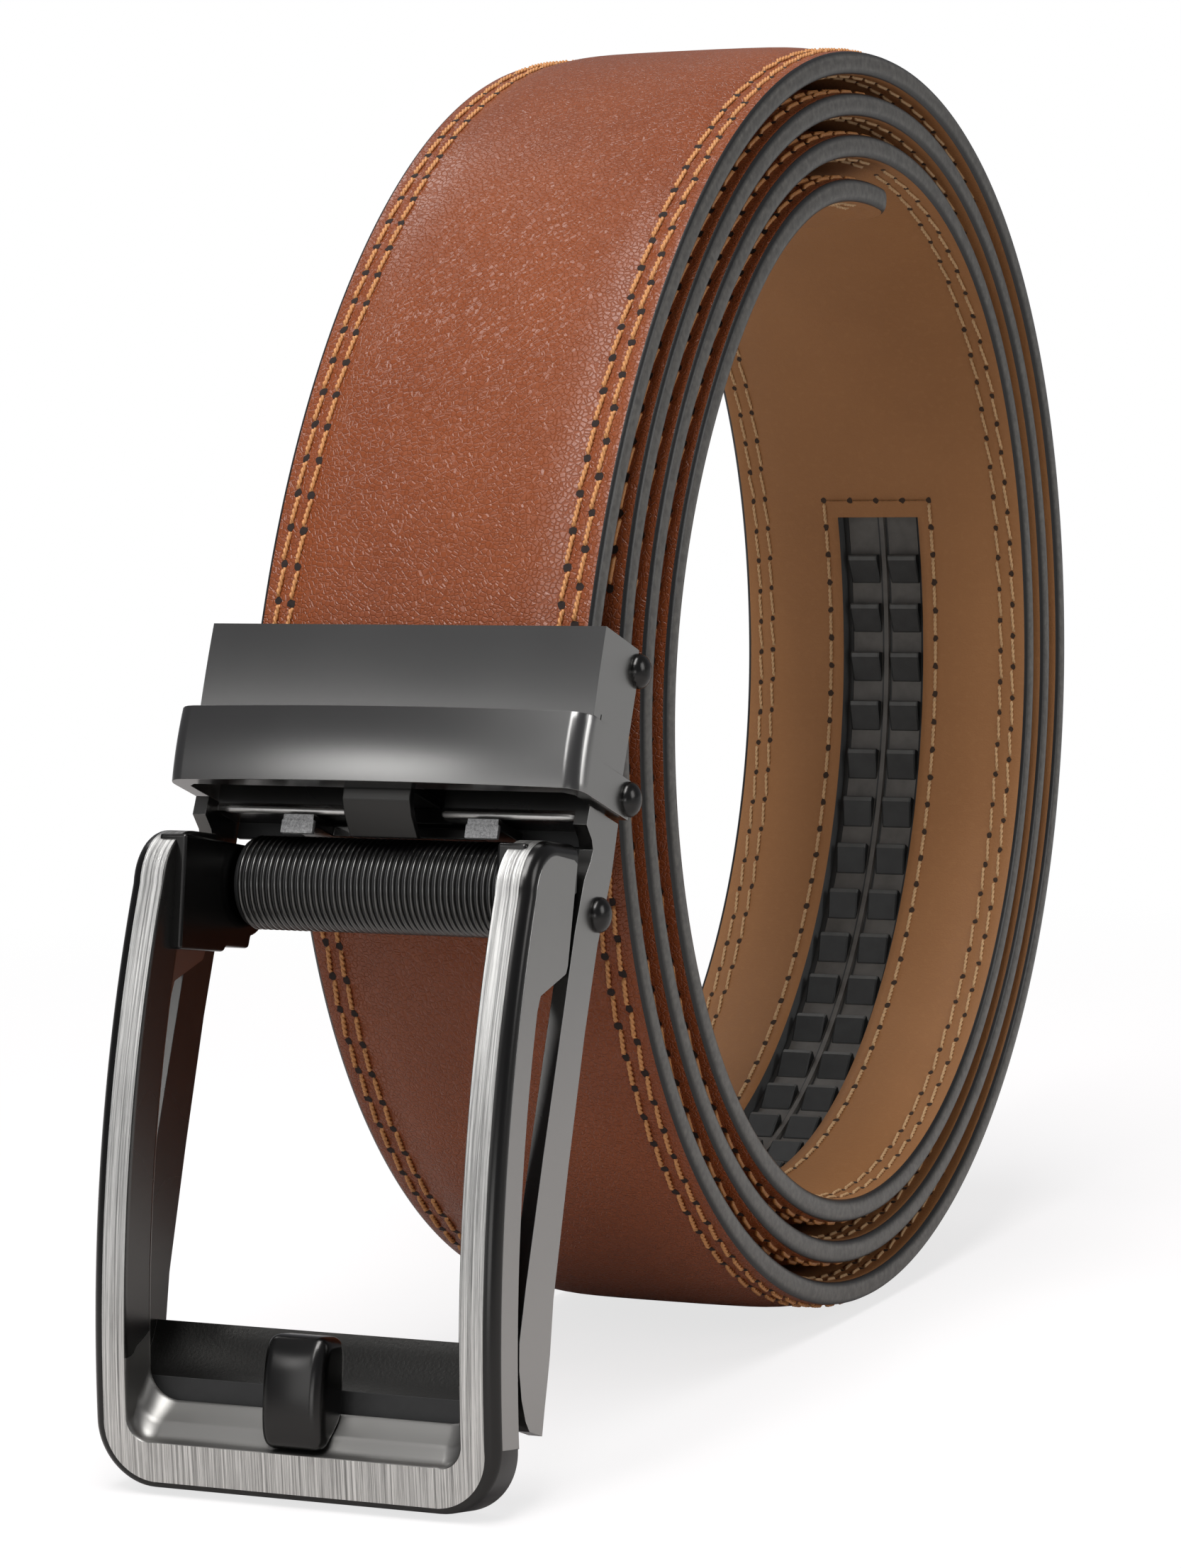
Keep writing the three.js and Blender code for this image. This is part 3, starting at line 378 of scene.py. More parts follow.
def station_list():
    """Fine steps where the strap shows, coarser ones where other turns hide it."""
    shown_out = s_at(395)
    shown_in = s_at(800)
    fine = STITCH_PITCH / 5
    parts = [np.arange(0, shown_out, fine), np.arange(shown_out, shown_in, 2.4),
             np.arange(shown_in, LENGTH - TIP_CORNER, fine)]
    tip = LENGTH - TIP_CORNER * np.array([1, 0.8, 0.6, 0.42, 0.27, 0.15, 0.07, 0.02, 0])
    edges = [WINDOW_S0, WINDOW_S0 + 0.06, WINDOW_S1 - 0.06, WINDOW_S1]
    return np.unique(np.concatenate([*parts, tip, edges]))


STATIONS = station_list()


def strap_sheet(name, x, offset, material, uv_x):
    s = STATIONS[:, None]
    share = half_width_at(STATIONS)[:, None] / HALF_WIDTH
    pts = strap_points(s, x * share, offset)
    rows, cols = pts.shape[:2]
    uv = np.stack(np.broadcast_arrays(uv_x, s), -1).reshape(-1, 2)
    return make_object(name, pts.reshape(-1, 3), grid_faces(rows, cols), [material], uv=uv)


face_x = np.concatenate([-FACE_X[::-1], FACE_X[1:]])
face_h = np.concatenate([FACE_H[::-1], FACE_H[1:]])
outer = strap_sheet("strap_outer", face_x[None], face_height(face_x[None], STATIONS[:, None]), OUTER,
                    face_x[None])
finish_piece(outer, "belt", ["strap_leather"])

WINDOW = 4.9
lining_x = np.sort(np.unique(np.concatenate([face_x, [-WINDOW - 0.06, -WINDOW, WINDOW, WINDOW + 0.06]])))
window_rows = (STATIONS > WINDOW_S0 + 0.03) & (STATIONS < WINDOW_S1 - 0.03)
in_window = (np.abs(lining_x) <= WINDOW)[None] & window_rows[:, None]
lining_h = np.where(in_window, -0.5, -face_height(lining_x)[None])
lining = strap_sheet("strap_lining_face", lining_x[None, ::-1], lining_h[:, ::-1], LINING,
                     lining_x[None, ::-1])
# Painted shade: the lining's faces inside the track's window take the black rubber.
lining.data.materials.append(RUBBER)
sunk_shade = in_window[1:, 1:] | in_window[:-1, 1:] | in_window[1:, :-1] | in_window[:-1, :-1]
lining.data.polygons.foreach_set("material_index", sunk_shade[:, ::-1].astype(np.int32).ravel())
finish_piece(lining, "belt", ["strap_lining"])

EDGE_ARC = [(17.05, 1.17), (17.3, 1.05), (17.47, 0.8), (17.55, 0.4), (17.57, 0.0), (17.55, -0.4),
            (17.47, -0.8), (17.3, -1.05), (17.05, -1.17)]
edge_x = np.array([p[0] for p in EDGE_ARC])
edge_h = np.array([p[1] for p in EDGE_ARC])
for side, label in ((1, "right"), (-1, "left")):
    order = slice(None) if side < 0 else slice(None, None, -1)
    edge = strap_sheet(f"strap_edge_{label}", side * edge_x[None, order], edge_h[None, order], EDGE_PAINT,
                       edge_h[None, order])
    finish_piece(edge, "belt", ())


def strap_end(name, s, outward):
    ring = np.concatenate([np.stack([face_x, face_h], -1), np.stack([edge_x, edge_h], -1)[1:-1],
                           np.stack([face_x, -face_h], -1)[::-1],
                           np.stack([-edge_x, edge_h], -1)[::-1][1:-1]])
    share = float(half_width_at(np.array(s))) / HALF_WIDTH
    rings = []
    for grow, shift in ((1.0, 0.0), (0.9, 0.25), (0.6, 0.4)):
        across = ring[:, 0] * (share - (1 - grow) * 0.03)
        rings.append(strap_points(s + shift * outward, across, ring[:, 1] * grow))
    pts = np.array(rings)
    faces = [tuple(f) for f in grid_faces(3, len(ring), close_cols=True)]
    cap = [2 * len(ring) + i for i in range(len(ring))]
    faces.append(tuple(cap if outward > 0 else cap[::-1]))
    end = make_object(name, pts.reshape(-1, 3), faces, [END_PAINT])
    return finish_piece(end, "belt", ())


strap_end("strap_tip_edge", LENGTH, 1)
strap_end("strap_clamp_edge", 0.0, -1)


# Stitches

def thread_mesh(s0, s1, x0, x1, face, rings, segs, radius=0.26, twists=2.6, plies=2):
    """Stitches of twisted plies from (s0, x0) to (s1, x1) on the outer (+1) or inner (-1) face."""
    s0, s1, x0, x1 = (np.broadcast_to(np.asarray(v, float), np.shape(s0))[:, None] for v in (s0, s1, x0, x1))
    t = np.linspace(0, 1, rings)[None]
    s, x = s0 + (s1 - s0) * t, x0 + (x1 - x0) * t
    rise = np.clip(np.sin(np.pi * t) * 2.6, 0, 1) ** 0.7
    height = face_height(x) - 0.45 + (0.45 + 0.55 * radius) * rise
    middle = strap_points(s, x, face * height)
    normal = strap_points(s, x, face * (height + 1)) - middle
    across = np.zeros_like(normal)
    across[..., 0] = 1
    phi = np.linspace(0, 2 * np.pi, segs, endpoint=False)
    swell = radius * (0.6 + 0.4 * np.clip(np.sin(np.pi * t) * 4, 0, 1))
    turn = 2 * np.pi * twists * t + rng.uniform(0, 2 * np.pi, s0.shape)
    verts, faces, base = [], [], 0
    for ply in range(plies):
        angle = turn + 2 * np.pi * ply / plies
        shift = swell * (0.42 if plies > 1 else 0)
        width = swell * (0.62 if plies > 1 else 1)
        u = (shift * np.cos(angle))[..., None] + width[..., None] * np.cos(phi)
        v = (shift * np.sin(angle))[..., None] + width[..., None] * np.sin(phi)
        ring = middle[:, :, None] + across[:, :, None] * u[..., None] + normal[:, :, None] * v[..., None]
        count = ring.shape[0]
        cells = grid_faces(rings, segs, close_cols=True)
        faces.append((cells[None] + (np.arange(count) * rings * segs)[:, None, None]).reshape(-1, 4) + base)
        verts.append(ring.reshape(-1, 3))
        base += len(verts[-1])
    return np.concatenate(verts), np.concatenate(faces)


def hole_mesh(s, x, face, radius):
    """Small dark discs where the thread goes down: painted shade in the stitch holes."""
    s, x = np.asarray(s, float)[:, None], np.broadcast_to(np.asarray(x, float), np.shape(s))[:, None]
    phi = np.linspace(0, 2 * np.pi, 9, endpoint=False)[None]
    uneven = rng.uniform(0.75, 1.15, (len(s), 9))
    px = x + radius * uneven * np.cos(phi)
    ps = s + radius * 1.15 * uneven * np.sin(phi)
    ring = strap_points(ps, px, face * (face_height(px, ps if face > 0 else None) + 0.03))
    return ring.reshape(-1, 3), [[9 * i + j for j in range(9)] for i in range(ring.shape[0])]


class Stitching:
    """Collects runs of stitches and their holes, then makes one piece of each."""

    def __init__(self, name, face, thread, hole, slot, radius=0.26, hole_radius=0.42):
        self.name, self.face, self.slot = name, face, slot
        self.thread, self.hole, self.radius, self.hole_radius = thread, hole, radius, hole_radius
        self.verts, self.faces, self.hole_verts, self.hole_faces = [], [], [], []
        self.base = self.hole_base = 0

    def run(self, s0, s1, x0, x1, rings, segs, plies=2):
        v, f = thread_mesh(s0, s1, x0, x1, self.face, rings, segs, self.radius, plies=plies)
        self.verts.append(v)
        self.faces.append(f + self.base)
        self.base += len(v)

    def holes(self, s, x):
        v, f = hole_mesh(s, x, self.face, self.hole_radius)
        self.hole_verts.append(v)
        self.hole_faces += [[i + self.hole_base for i in q] for q in f]
        self.hole_base += len(v)

    def build(self):
        threads = make_object(self.name, np.concatenate(self.verts), np.concatenate(self.faces),
                              [self.thread])
        finish_piece(threads, "belt", ())
        holes = make_object(f"{self.name}_holes", np.concatenate(self.hole_verts), self.hole_faces,
                            [self.hole], smooth=False)
        finish_piece(holes, "belt", ())


def edge_rows(stitching, s_from, s_to, rings, segs, plies=2):
    """The two rows beside each edge; the right side's outer row is half a stitch on."""
    for side in (1, -1):
        for k, row in enumerate(ROWS):
            phase = (0.5 if side > 0 else 0.1) * k * STITCH_PITCH
            first = math.ceil((s_from - phase) / STITCH_PITCH) * STITCH_PITCH + phase
            starts = np.arange(first, s_to - STITCH_PITCH, STITCH_PITCH)
            jitter = rng.uniform(-0.07, 0.07, (2, len(starts)))
            x = side * row
            stitching.run(starts + 0.2, starts + STITCH_PITCH - 0.2, x - 0.14 + jitter[0],
                          x + 0.14 + jitter[1], rings, segs, plies)
            stitching.holes(starts + rng.uniform(-0.06, 0.06, len(starts)), np.full(len(starts), x))


SHOWN_OUT, SHOWN_IN = s_at(372), s_at(824)
ROWS_FROM = CLAMP_TOP - STRAP_END - 9

outer_rows = Stitching("stitches_outer", 1, THREAD, HOLE, "outer_leather")
edge_rows(outer_rows, ROWS_FROM, SHOWN_OUT, 15, 6)
outer_rows.build()
outer_wound = Stitching("stitches_outer_wound", 1, THREAD, HOLE, "outer_leather")
edge_rows(outer_wound, SHOWN_OUT, LENGTH - 5, 6, 5, 1)
outer_wound.build()
inner_rows = Stitching("stitches_inner", -1, LINING_THREAD, LINING_HOLE, "lining_leather", 0.2, 0.3)
edge_rows(inner_rows, SHOWN_IN, LENGTH - 5, 12, 6)
inner_rows.build()
inner_wound = Stitching("stitches_inner_wound", -1, LINING_THREAD, LINING_HOLE, "lining_leather", 0.2, 0.3)
edge_rows(inner_wound, ROWS_FROM, SHOWN_IN, 6, 5, 1)
inner_wound.build()


def window_stitches():
    """One row of stitches round the track's window."""
    half, gap, pitch = 6.5, 2.1, 3.35
    s0, s1 = WINDOW_S0 - gap, WINDOW_S1 + gap
    row = Stitching("stitches_window", -1, LINING_THREAD, LINING_HOLE, "lining_leather", 0.22, 0.36)
    count = round((s1 - s0) / pitch)
    steps = np.linspace(s0, s1, count + 1)
    for x in (-half, half):
        line = np.full(count, x)
        row.run(steps[:-1] + 0.2, steps[1:] - 0.2, line, line, 12, 6)
        row.holes(steps, np.full(count + 1, x))
    xs = np.linspace(-half, half, 5)
    for s in (s0, s1):
        row.run(np.full(4, s), np.full(4, s), xs[:-1] + 0.2, xs[1:] - 0.2, 12, 6)
        row.holes(np.full(3, s), xs[1:-1])
    row.build()


window_stitches()


# Buckle pieces that keep the CAD shape, with softened edges

def crown_front(bm, front, low, high, rise):
    """Bellies the faces ahead of front, between two heights in the buckle's frame."""
    c, s = math.cos(LEAN), math.sin(LEAN)
    for z in np.linspace(low, high, 11)[1:-1]:
        bmesh.ops.bisect_plane(bm, geom=[*bm.verts, *bm.edges, *bm.faces], dist=1e-7,
                               plane_co=Vector(in_buckle([0, 0, z])) * MM, plane_no=(0, s, c))
    for v in bm.verts:
        y, z = buckle_place(np.array(v.co) / MM)
        share = np.clip((z - low) / (high - low), 0, 1)
        push = rise * 4 * share * (1 - share) * np.clip((front - y) / 0.4, 0, 1)
        v.co += Vector((0, -c * push, s * push)) * MM


def machined(name, node, body, materials, bevel=0.22, sharp=28.0, segments=3, pick=None, crown=None):
    """A copy of a CAD node with rounded edges; pick gives a face's material from its centre and normal."""
    src = frame["nodes"][node].data
    bm = bmesh.new()
    bm.from_mesh(src)
    bmesh.ops.remove_doubles(bm, verts=bm.verts, dist=3e-6)
    bmesh.ops.dissolve_limit(bm, angle_limit=math.radians(0.8), verts=bm.verts, edges=bm.edges)
    if crown:
        crown_front(bm, *crown)
    edges = [e for e in bm.edges if len(e.link_faces) == 2 and e.calc_face_angle(0) > math.radians(sharp)]
    bmesh.ops.bevel(bm, geom=edges, offset=bevel * MM, segments=segments, profile=0.5, affect="EDGES",
                    clamp_overlap=True)
    mesh = bpy.data.meshes.new(name)
    bm.to_mesh(mesh)
    bm.free()
    mesh.materials.clear()
    for material in materials:
        mesh.materials.append(material)
    for face in mesh.polygons:
        face.material_index = pick(np.array(face.center) / MM, np.array(face.normal)) if pick else 0
        face.use_smooth = True
    mesh.set_sharp_from_angle(angle=math.radians(38))
    return weighted(name, mesh, body, [node])


def weighted(name, mesh, body, nodes):
    """Puts a mesh in the scene with normals that keep its large faces flat."""
    obj = bpy.data.objects.new(name, mesh)
    bpy.context.scene.collection.objects.link(obj)
    weights = obj.modifiers.new("weights", "WEIGHTED_NORMAL")
    weights.keep_sharp = True
    return finish_piece(obj, body, nodes)


def buckle_place(point):
    """A row-frame point in the buckle's own frame, as (y, z)."""
    c, s = math.cos(LEAN), math.sin(LEAN)
    y, z = point[1] - ORIGIN[1], point[2] - ORIGIN[2]
    return y * c - z * s, y * s + z * c


def pawl_material(centre, normal):
    """The fingers' ends keep the steel colour; the rest takes the darker gunmetal copy as painted shade."""
    return 0 if buckle_place(centre)[0] < -3.5 and normal[1] < -0.3 else 1


def arms_material(centre, normal):
    """The arms' outer sides keep the gunmetal; their edges and the bridge take the darker copy, and the scoop
    a near-black copy with a grain, both as painted shade; the scoop's skirt is painted black as shade.
    """
    if abs(centre[0]) >= BUCKLE_HALF - PLATE + 0.1 and abs(normal[0]) > 0.5:
        return 0
    z = buckle_place(centre)[1]
    if z > -38 or abs(centre[0]) > BUCKLE_HALF - PLATE:
        return 1
    facing = -normal[1] * math.cos(LEAN) + normal[2] * math.sin(LEAN)
    return 3 if facing > 0.93 and z < SCOOP_SKIRT else 2


def front_material(_centre, normal):
    """The clamp's and keeper's fronts take a darker copy of the gunmetal than their sides: painted shade."""
    return 0 if abs(normal[0]) > 0.8 else 1


# Below this height the scoop's front-facing skirt is painted black as shade.
SCOOP_SKIRT = -45.8
machined("cover_plate", "clamp_cover", "belt", [GUNMETAL, PLATE_FRONT_SHADE], 0.2, pick=front_material,
         crown=(-6.0, 12.3, 24.5, 0.16))
# The chassis takes the darker gunmetal copy: painted shade.
machined("chassis_plate", "clamp_chassis", "belt", [GUNMETAL_SHADE], 0.12)
machined("keeper_bar", "keeper", "belt", [GUNMETAL, PLATE_FRONT_SHADE], 0.35, pick=front_material,
         crown=(-7.95, 8.3, 15.5, 0.22))
machined("tab_plate", "keeper_tab", "belt", [TAB], 0.12)
machined("arms", "base_arms", "belt", [GUNMETAL, GUNMETAL_SHADE, SCOOP_SHADE, SHADE], 0.2, pick=arms_material)
machined("pawl_fingers", "pawl", "belt", [STEEL, GUNMETAL_SHADE], 0.1, pick=pawl_material)


# Front frame, in its own leaning frame

FRAME_FRONT, FRAME_FOOT, FRAME_TOP, FRAME_BOW = -14.8, -55.0, 5.1, 3.3
SIDE_WIDTH, FOOT_HEIGHT, FRAME_DEPTH = 3.6, 4.2, 4.7
CHAMFER, FOOT_CHAMFER = 1.2, 0.5
CORNER_RADIUS, SHOULDER_RADIUS = 6.0, 5.2
EAR_REAR, EAR_LOW_REAR, EAR_FOOT, EAR_TAPER = -5.2, -6.2, -6.3, 2.4
CHEEK, BOSS_RADIUS, CHEEK_FOOT = 2.9, 4.3, 5.4
SEAT_GAP = 0.3
# Ledge on the foot: how far back and how high each row lies, as shares of the frame's depth and the rise
LEDGE_RISE = 3.6
LEDGE = [(0.12, 0.02), (0.24, 0.08), (0.34, 0.2), (0.42, 0.38), (0.47, 0.47), (0.52, 0.52), (0.66, 0.66),
         (0.8, 0.82), (0.88, 0.93), (0.93, 0.985), (0.97, 1.0), (1.0, 0.98)]


def frame_front_at(z):
    middle = FRAME_FOOT / 2
    return FRAME_FRONT - FRAME_BOW * (1 - np.minimum(1, ((z - middle) / middle) ** 2))


def frame_section(turn):
    """Closed section from the front's outer edge: (across, depth, share of the ledge's rise, material)."""
    chamfer = CHAMFER + (FOOT_CHAMFER - CHAMFER) * turn
    width = SIDE_WIDTH + (FOOT_HEIGHT - SIDE_WIDTH) * turn
    # Material 0 is the brushed front; 1, the inner walls and rear, is the darker gunmetal copy as painted
    # shade; 2, the rear corner, outer wall and chamfer, is the near-black copy as painted shade.
    rows = [(chamfer, 0, 0, 0), (width - 0.12, 0, 0, 1), (width, 0.12, 0, 1)]
    rows += [(width, FRAME_DEPTH * d, r, 1) for d, r in LEDGE[:-1]]
    rows += [(width - 0.15, FRAME_DEPTH, 1.0, 1), (0.3, FRAME_DEPTH, 0, 2), (0, FRAME_DEPTH - 0.3, 0, 2)]
    for k in range(6):
        phi = math.radians(90 * (1 - k / 6))
        rows.append((chamfer * (1 - math.sin(phi)), chamfer * (1 - math.cos(phi)), 0, 2))
    return rows


def frame_ring(outer, inward, turn, top):
    """One ring, from a place on the outline, the way in from it and the ledge's top, all as (x, z)."""
    ring = []
    width = SIDE_WIDTH + (FOOT_HEIGHT - SIDE_WIDTH) * turn
    inner = outer + inward * width
    for a, d, share, _ in frame_section(turn):
        x, z = outer + inward * a + (top - inner) * share
        ring.append((x, frame_front_at(z) + d, z))
    return ring


FILLET = 3.0
FILLET_FROM = -38.0


def frame_half_rings():
    """Rings down one side bar, round the corner and to the middle of the foot, on the right side."""
    shoulder = FRAME_TOP - SHOULDER_RADIUS
    shoulder_y = frame_front_at(shoulder) + SHOULDER_RADIUS
    corner = np.array([BUCKLE_HALF - CORNER_RADIUS, FRAME_FOOT + CORNER_RADIUS])
    inner_x, ledge_z = BUCKLE_HALF - SIDE_WIDTH, FRAME_FOOT + FOOT_HEIGHT + LEDGE_RISE
    fillet = np.array([inner_x - FILLET, ledge_z + FILLET])
    rings = [[(BUCKLE_HALF - a, EAR_REAR, FRAME_TOP - d) for a, d, _, _ in frame_section(0)]]
    for angle in np.radians(np.linspace(90, 0, 13)[:-1]):
        ahead, up = math.cos(angle), math.sin(angle)
        rings.append([(BUCKLE_HALF - a, shoulder_y - (SHOULDER_RADIUS - d) * ahead,
                       shoulder + (SHOULDER_RADIUS - d) * up) for a, d, _, _ in frame_section(0)])
    for z in np.linspace(shoulder, corner[1], 36)[:-1]:
        lag = max(0.0, FILLET_FROM - z) / (FILLET_FROM - corner[1])
        top_z = z if lag == 0 else FILLET_FROM + lag * (fillet[1] - FILLET_FROM)
        rings.append(frame_ring(np.array([BUCKLE_HALF, z]), np.array([-1.0, 0.0]), 0,
                                np.array([inner_x, top_z])))
    for turn in np.linspace(0, 1, 19):
        out = np.array([math.cos(math.pi / 2 * turn), -math.sin(math.pi / 2 * turn)])
        rings.append(frame_ring(corner + out * CORNER_RADIUS, -out, turn, fillet + out * FILLET))
    for x in np.linspace(corner[0], 0, 12)[1:]:
        rings.append(frame_ring(np.array([x, FRAME_FOOT]), np.array([0.0, 1.0]), 1,
                                np.array([x * fillet[0] / corner[0], ledge_z])))
    return np.array(rings), 14


def mark_borders(mesh):
    """Makes the edges between two materials sharp."""
    seen = {}
    for face in mesh.polygons:
        for key in face.edge_keys:
            seen.setdefault(key, set()).add(face.material_index)
    for edge in mesh.edges:
        if len(seen.get(edge.key, ())) > 1:
            edge.use_edge_sharp = True


def front_frame():
    right, bars_from = frame_half_rings()
    left = right[-2::-1] * np.array([-1, 1, 1])
    rings = np.concatenate([right, left])
    rows, cols = rings.shape[:2]
    cells = grid_faces(rows, cols, close_cols=True)
    kinds = np.array([row[-1] for row in frame_section(0)])
    materials = np.tile(kinds, (rows - 1, 1))
    # On the foot the inner wall and ledge take the lighter copy instead: painted light.
    foot = slice(bars_from + 30, rows - bars_from - 31)
    materials[foot][materials[foot] == 1] = 3
    caps = [list(range(cols))[::-1], [(rows - 1) * cols + i for i in range(cols)]]
    faces = [tuple(c) for c in cells] + [tuple(c) for c in caps]
    obj = make_object("frame_bars", in_front_frame(rings.reshape(-1, 3)), faces,
                      [BRUSHED, GUNMETAL_SHADE, GLOSS_SHADE, SATIN_LEDGE_LIGHT], np.append(materials.ravel(), [1, 1]))
    bm = bmesh.new()
    bm.from_mesh(obj.data)
    bmesh.ops.recalc_face_normals(bm, faces=bm.faces)
    bm.to_mesh(obj.data)
    bm.free()
    mesh = obj.data
    mesh.set_sharp_from_angle(angle=math.radians(50))
    mark_borders(mesh)
    obj.modifiers.new("weights", "WEIGHTED_NORMAL").keep_sharp = True
    finish_piece(obj, "frame", ["front_frame"])


front_frame()


def plate_piece(name, outline, x0, x1, place, body, material, slot, bevel=0.25, segments=3):
    """A flat plate from a (y, z) outline, with rounded edges, on the side that x0 and x1 give."""
    bm = bmesh.new()
    verts = [bm.verts.new(Vector(place(np.array([x0, y, z]))) * MM) for y, z in outline]
    base = bm.faces.new(verts)
    grown = bmesh.ops.extrude_face_region(bm, geom=[base])["geom"]
    shift = Vector(place(np.array([x1, 0, 0])) - place(np.array([x0, 0, 0]))) * MM
    bmesh.ops.translate(bm, verts=[g for g in grown if isinstance(g, bmesh.types.BMVert)], vec=shift)
    bmesh.ops.recalc_face_normals(bm, faces=bm.faces)
    edges = [e for e in bm.edges if e.calc_face_angle(0) > math.radians(28)]
    bmesh.ops.bevel(bm, geom=edges, offset=bevel * MM, segments=segments, profile=0.5, affect="EDGES",
                    clamp_overlap=True)
    mesh = bpy.data.meshes.new(name)
    bm.to_mesh(mesh)
    bm.free()
    mesh.materials.append(material)
    mesh.polygons.foreach_set("use_smooth", np.ones(len(mesh.polygons), bool))
    mesh.set_sharp_from_angle(angle=math.radians(38))
    return weighted(name, mesh, body, [])


def inset_outline(outline, amount):
    """Moves each point of a closed clockwise or anticlockwise outline inward."""
    pts = np.array(outline, float)
    ahead, back = np.roll(pts, -1, 0) - pts, pts - np.roll(pts, 1, 0)
    ahead /= np.linalg.norm(ahead, axis=1)[:, None]
    back /= np.linalg.norm(back, axis=1)[:, None]
    area = np.sum(pts[:, 0] * np.roll(pts[:, 1], -1) - np.roll(pts[:, 0], -1) * pts[:, 1])
    turn = math.copysign(1.0, area)
    n0 = turn * np.stack([-back[:, 1], back[:, 0]], -1)
    n1 = turn * np.stack([-ahead[:, 1], ahead[:, 0]], -1)
    miter = n0 + n1
    miter /= np.maximum(0.5, np.sum(miter * n0, axis=1))[:, None]
    return pts + miter * amount


def edged_plate(name, outline, inner_x, outer_x, place, body, material, edge=0.14):
    """A flat plate from a (y, z) outline, with a narrow rounded edge on its outer side."""
    way = math.copysign(1.0, outer_x - inner_x)
    rings = []
    for inset, drop in ((0, None), (0, edge), (0.3 * edge, 0.3 * edge), (edge, 0.0)):
        x = inner_x if drop is None else outer_x - way * drop
        rings.append([(x, y, z) for y, z in inset_outline(outline, inset)])
    rings = np.array(rings)
    count = rings.shape[1]
    faces = [tuple(f) for f in grid_faces(4, count, close_cols=True)]
    faces += [tuple(range(count)), tuple(3 * count + i for i in range(count))]
    obj = make_object(name, place(rings.reshape(-1, 3)), faces, [material])
    bm = bmesh.new()
    bm.from_mesh(obj.data)
    bmesh.ops.recalc_face_normals(bm, faces=bm.faces)
    bm.to_mesh(obj.data)
    bm.free()
    obj.data.set_sharp_from_angle(angle=math.radians(60))
    obj.modifiers.new("weights", "WEIGHTED_NORMAL").keep_sharp = True
    return finish_piece(obj, body, ())


def side_outline():
    """Flat side of the front frame inside its chamfer, with the ear behind the bar."""
    shoulder = FRAME_TOP - SHOULDER_RADIUS
    shoulder_y = frame_front_at(shoulder) + SHOULDER_RADIUS
    radius = SHOULDER_RADIUS - CHAMFER
    corner_z = FRAME_FOOT + CORNER_RADIUS
    ear_end = EAR_FOOT - EAR_TAPER
    pts = [(EAR_REAR, FRAME_TOP - CHAMFER - 0.55), (EAR_REAR - 0.8, FRAME_TOP - CHAMFER - 0.2)]
    pts += [(shoulder_y - radius * math.cos(a), shoulder + radius * math.sin(a))
            for a in np.radians(np.linspace(90, 0, 13))]
    pts += [(float(frame_front_at(z)) + CHAMFER, z) for z in np.linspace(shoulder, corner_z, 34)[1:]]
    pts += [(float(frame_front_at(z)) + FRAME_DEPTH - 0.02, z)
            for z in np.linspace(corner_z, ear_end - 1.6, 28)]
    bar_rear = float(frame_front_at(ear_end)) + FRAME_DEPTH
    pts += [(bar_rear + 0.25, ear_end - 0.2), (EAR_LOW_REAR - 0.35, EAR_FOOT - 0.45),
            (EAR_LOW_REAR, EAR_FOOT + 0.3)]
    return pts


def sides_and_cheeks():
    bar_rear = float(frame_front_at(EAR_FOOT)) + FRAME_DEPTH
    lap = 1.2
    outer = BUCKLE_HALF - PLATE - SEAT_GAP
    boss = [(BOSS_RADIUS * math.cos(a), BOSS_RADIUS * math.sin(a))
            for a in np.radians(np.linspace(80, -80, 25))]
    cheek = [(bar_rear - lap, FRAME_TOP - 0.4), *boss, (BOSS_RADIUS * 0.1, -CHEEK_FOOT),
             (-BOSS_RADIUS * 0.9, -CHEEK_FOOT), (-BOSS_RADIUS, -CHEEK_FOOT - 0.5),
             (bar_rear - lap, -CHEEK_FOOT - 0.6)]
    for side, label in ((1, "right"), (-1, "left")):
        edged_plate(f"frame_side_{label}", side_outline(), side * (BUCKLE_HALF - SIDE_WIDTH + 0.02),
                    side * (BUCKLE_HALF + 0.04), in_front_frame, "frame", GUNMETAL)
        # The cheeks take the near-black gunmetal copy: painted shade.
        plate_piece(f"frame_cheek_{label}", cheek, side * (outer - CHEEK), side * outer, in_front_frame,
                    "frame", GLOSS_SHADE, "dark_gunmetal", 0.35)


sides_and_cheeks()


# Small pieces under the keeper, in the buckle's frame

BRIDGE_FRONT, BRIDGE_FOOT = -2.9, 6.95


# Painted shade: a black sheet behind the ribbed bar's top, and black blocks below it beside the bar
SHADE_SHEET_Y = (1.16, 1.76)
SHADE_SHEET_Z, SHADE_SHEET_HALF = (5.45, 7.4), 18.9
SHADE_BLOCK_Z, SHADE_BLOCK_X = (4.9, 5.42), (14.6, 17.3)
# The bright pads on the pawl's finger ends
PAD_AT, PAD_HALF = 9.6, 1.7
PAD_Y, PAD_Z = (-4.25, -3.7), (4.75, 6.1)


def box_outline(ys, zs):
    return [(ys[0], zs[0]), (ys[1], zs[0]), (ys[1], zs[1]), (ys[0], zs[1])]


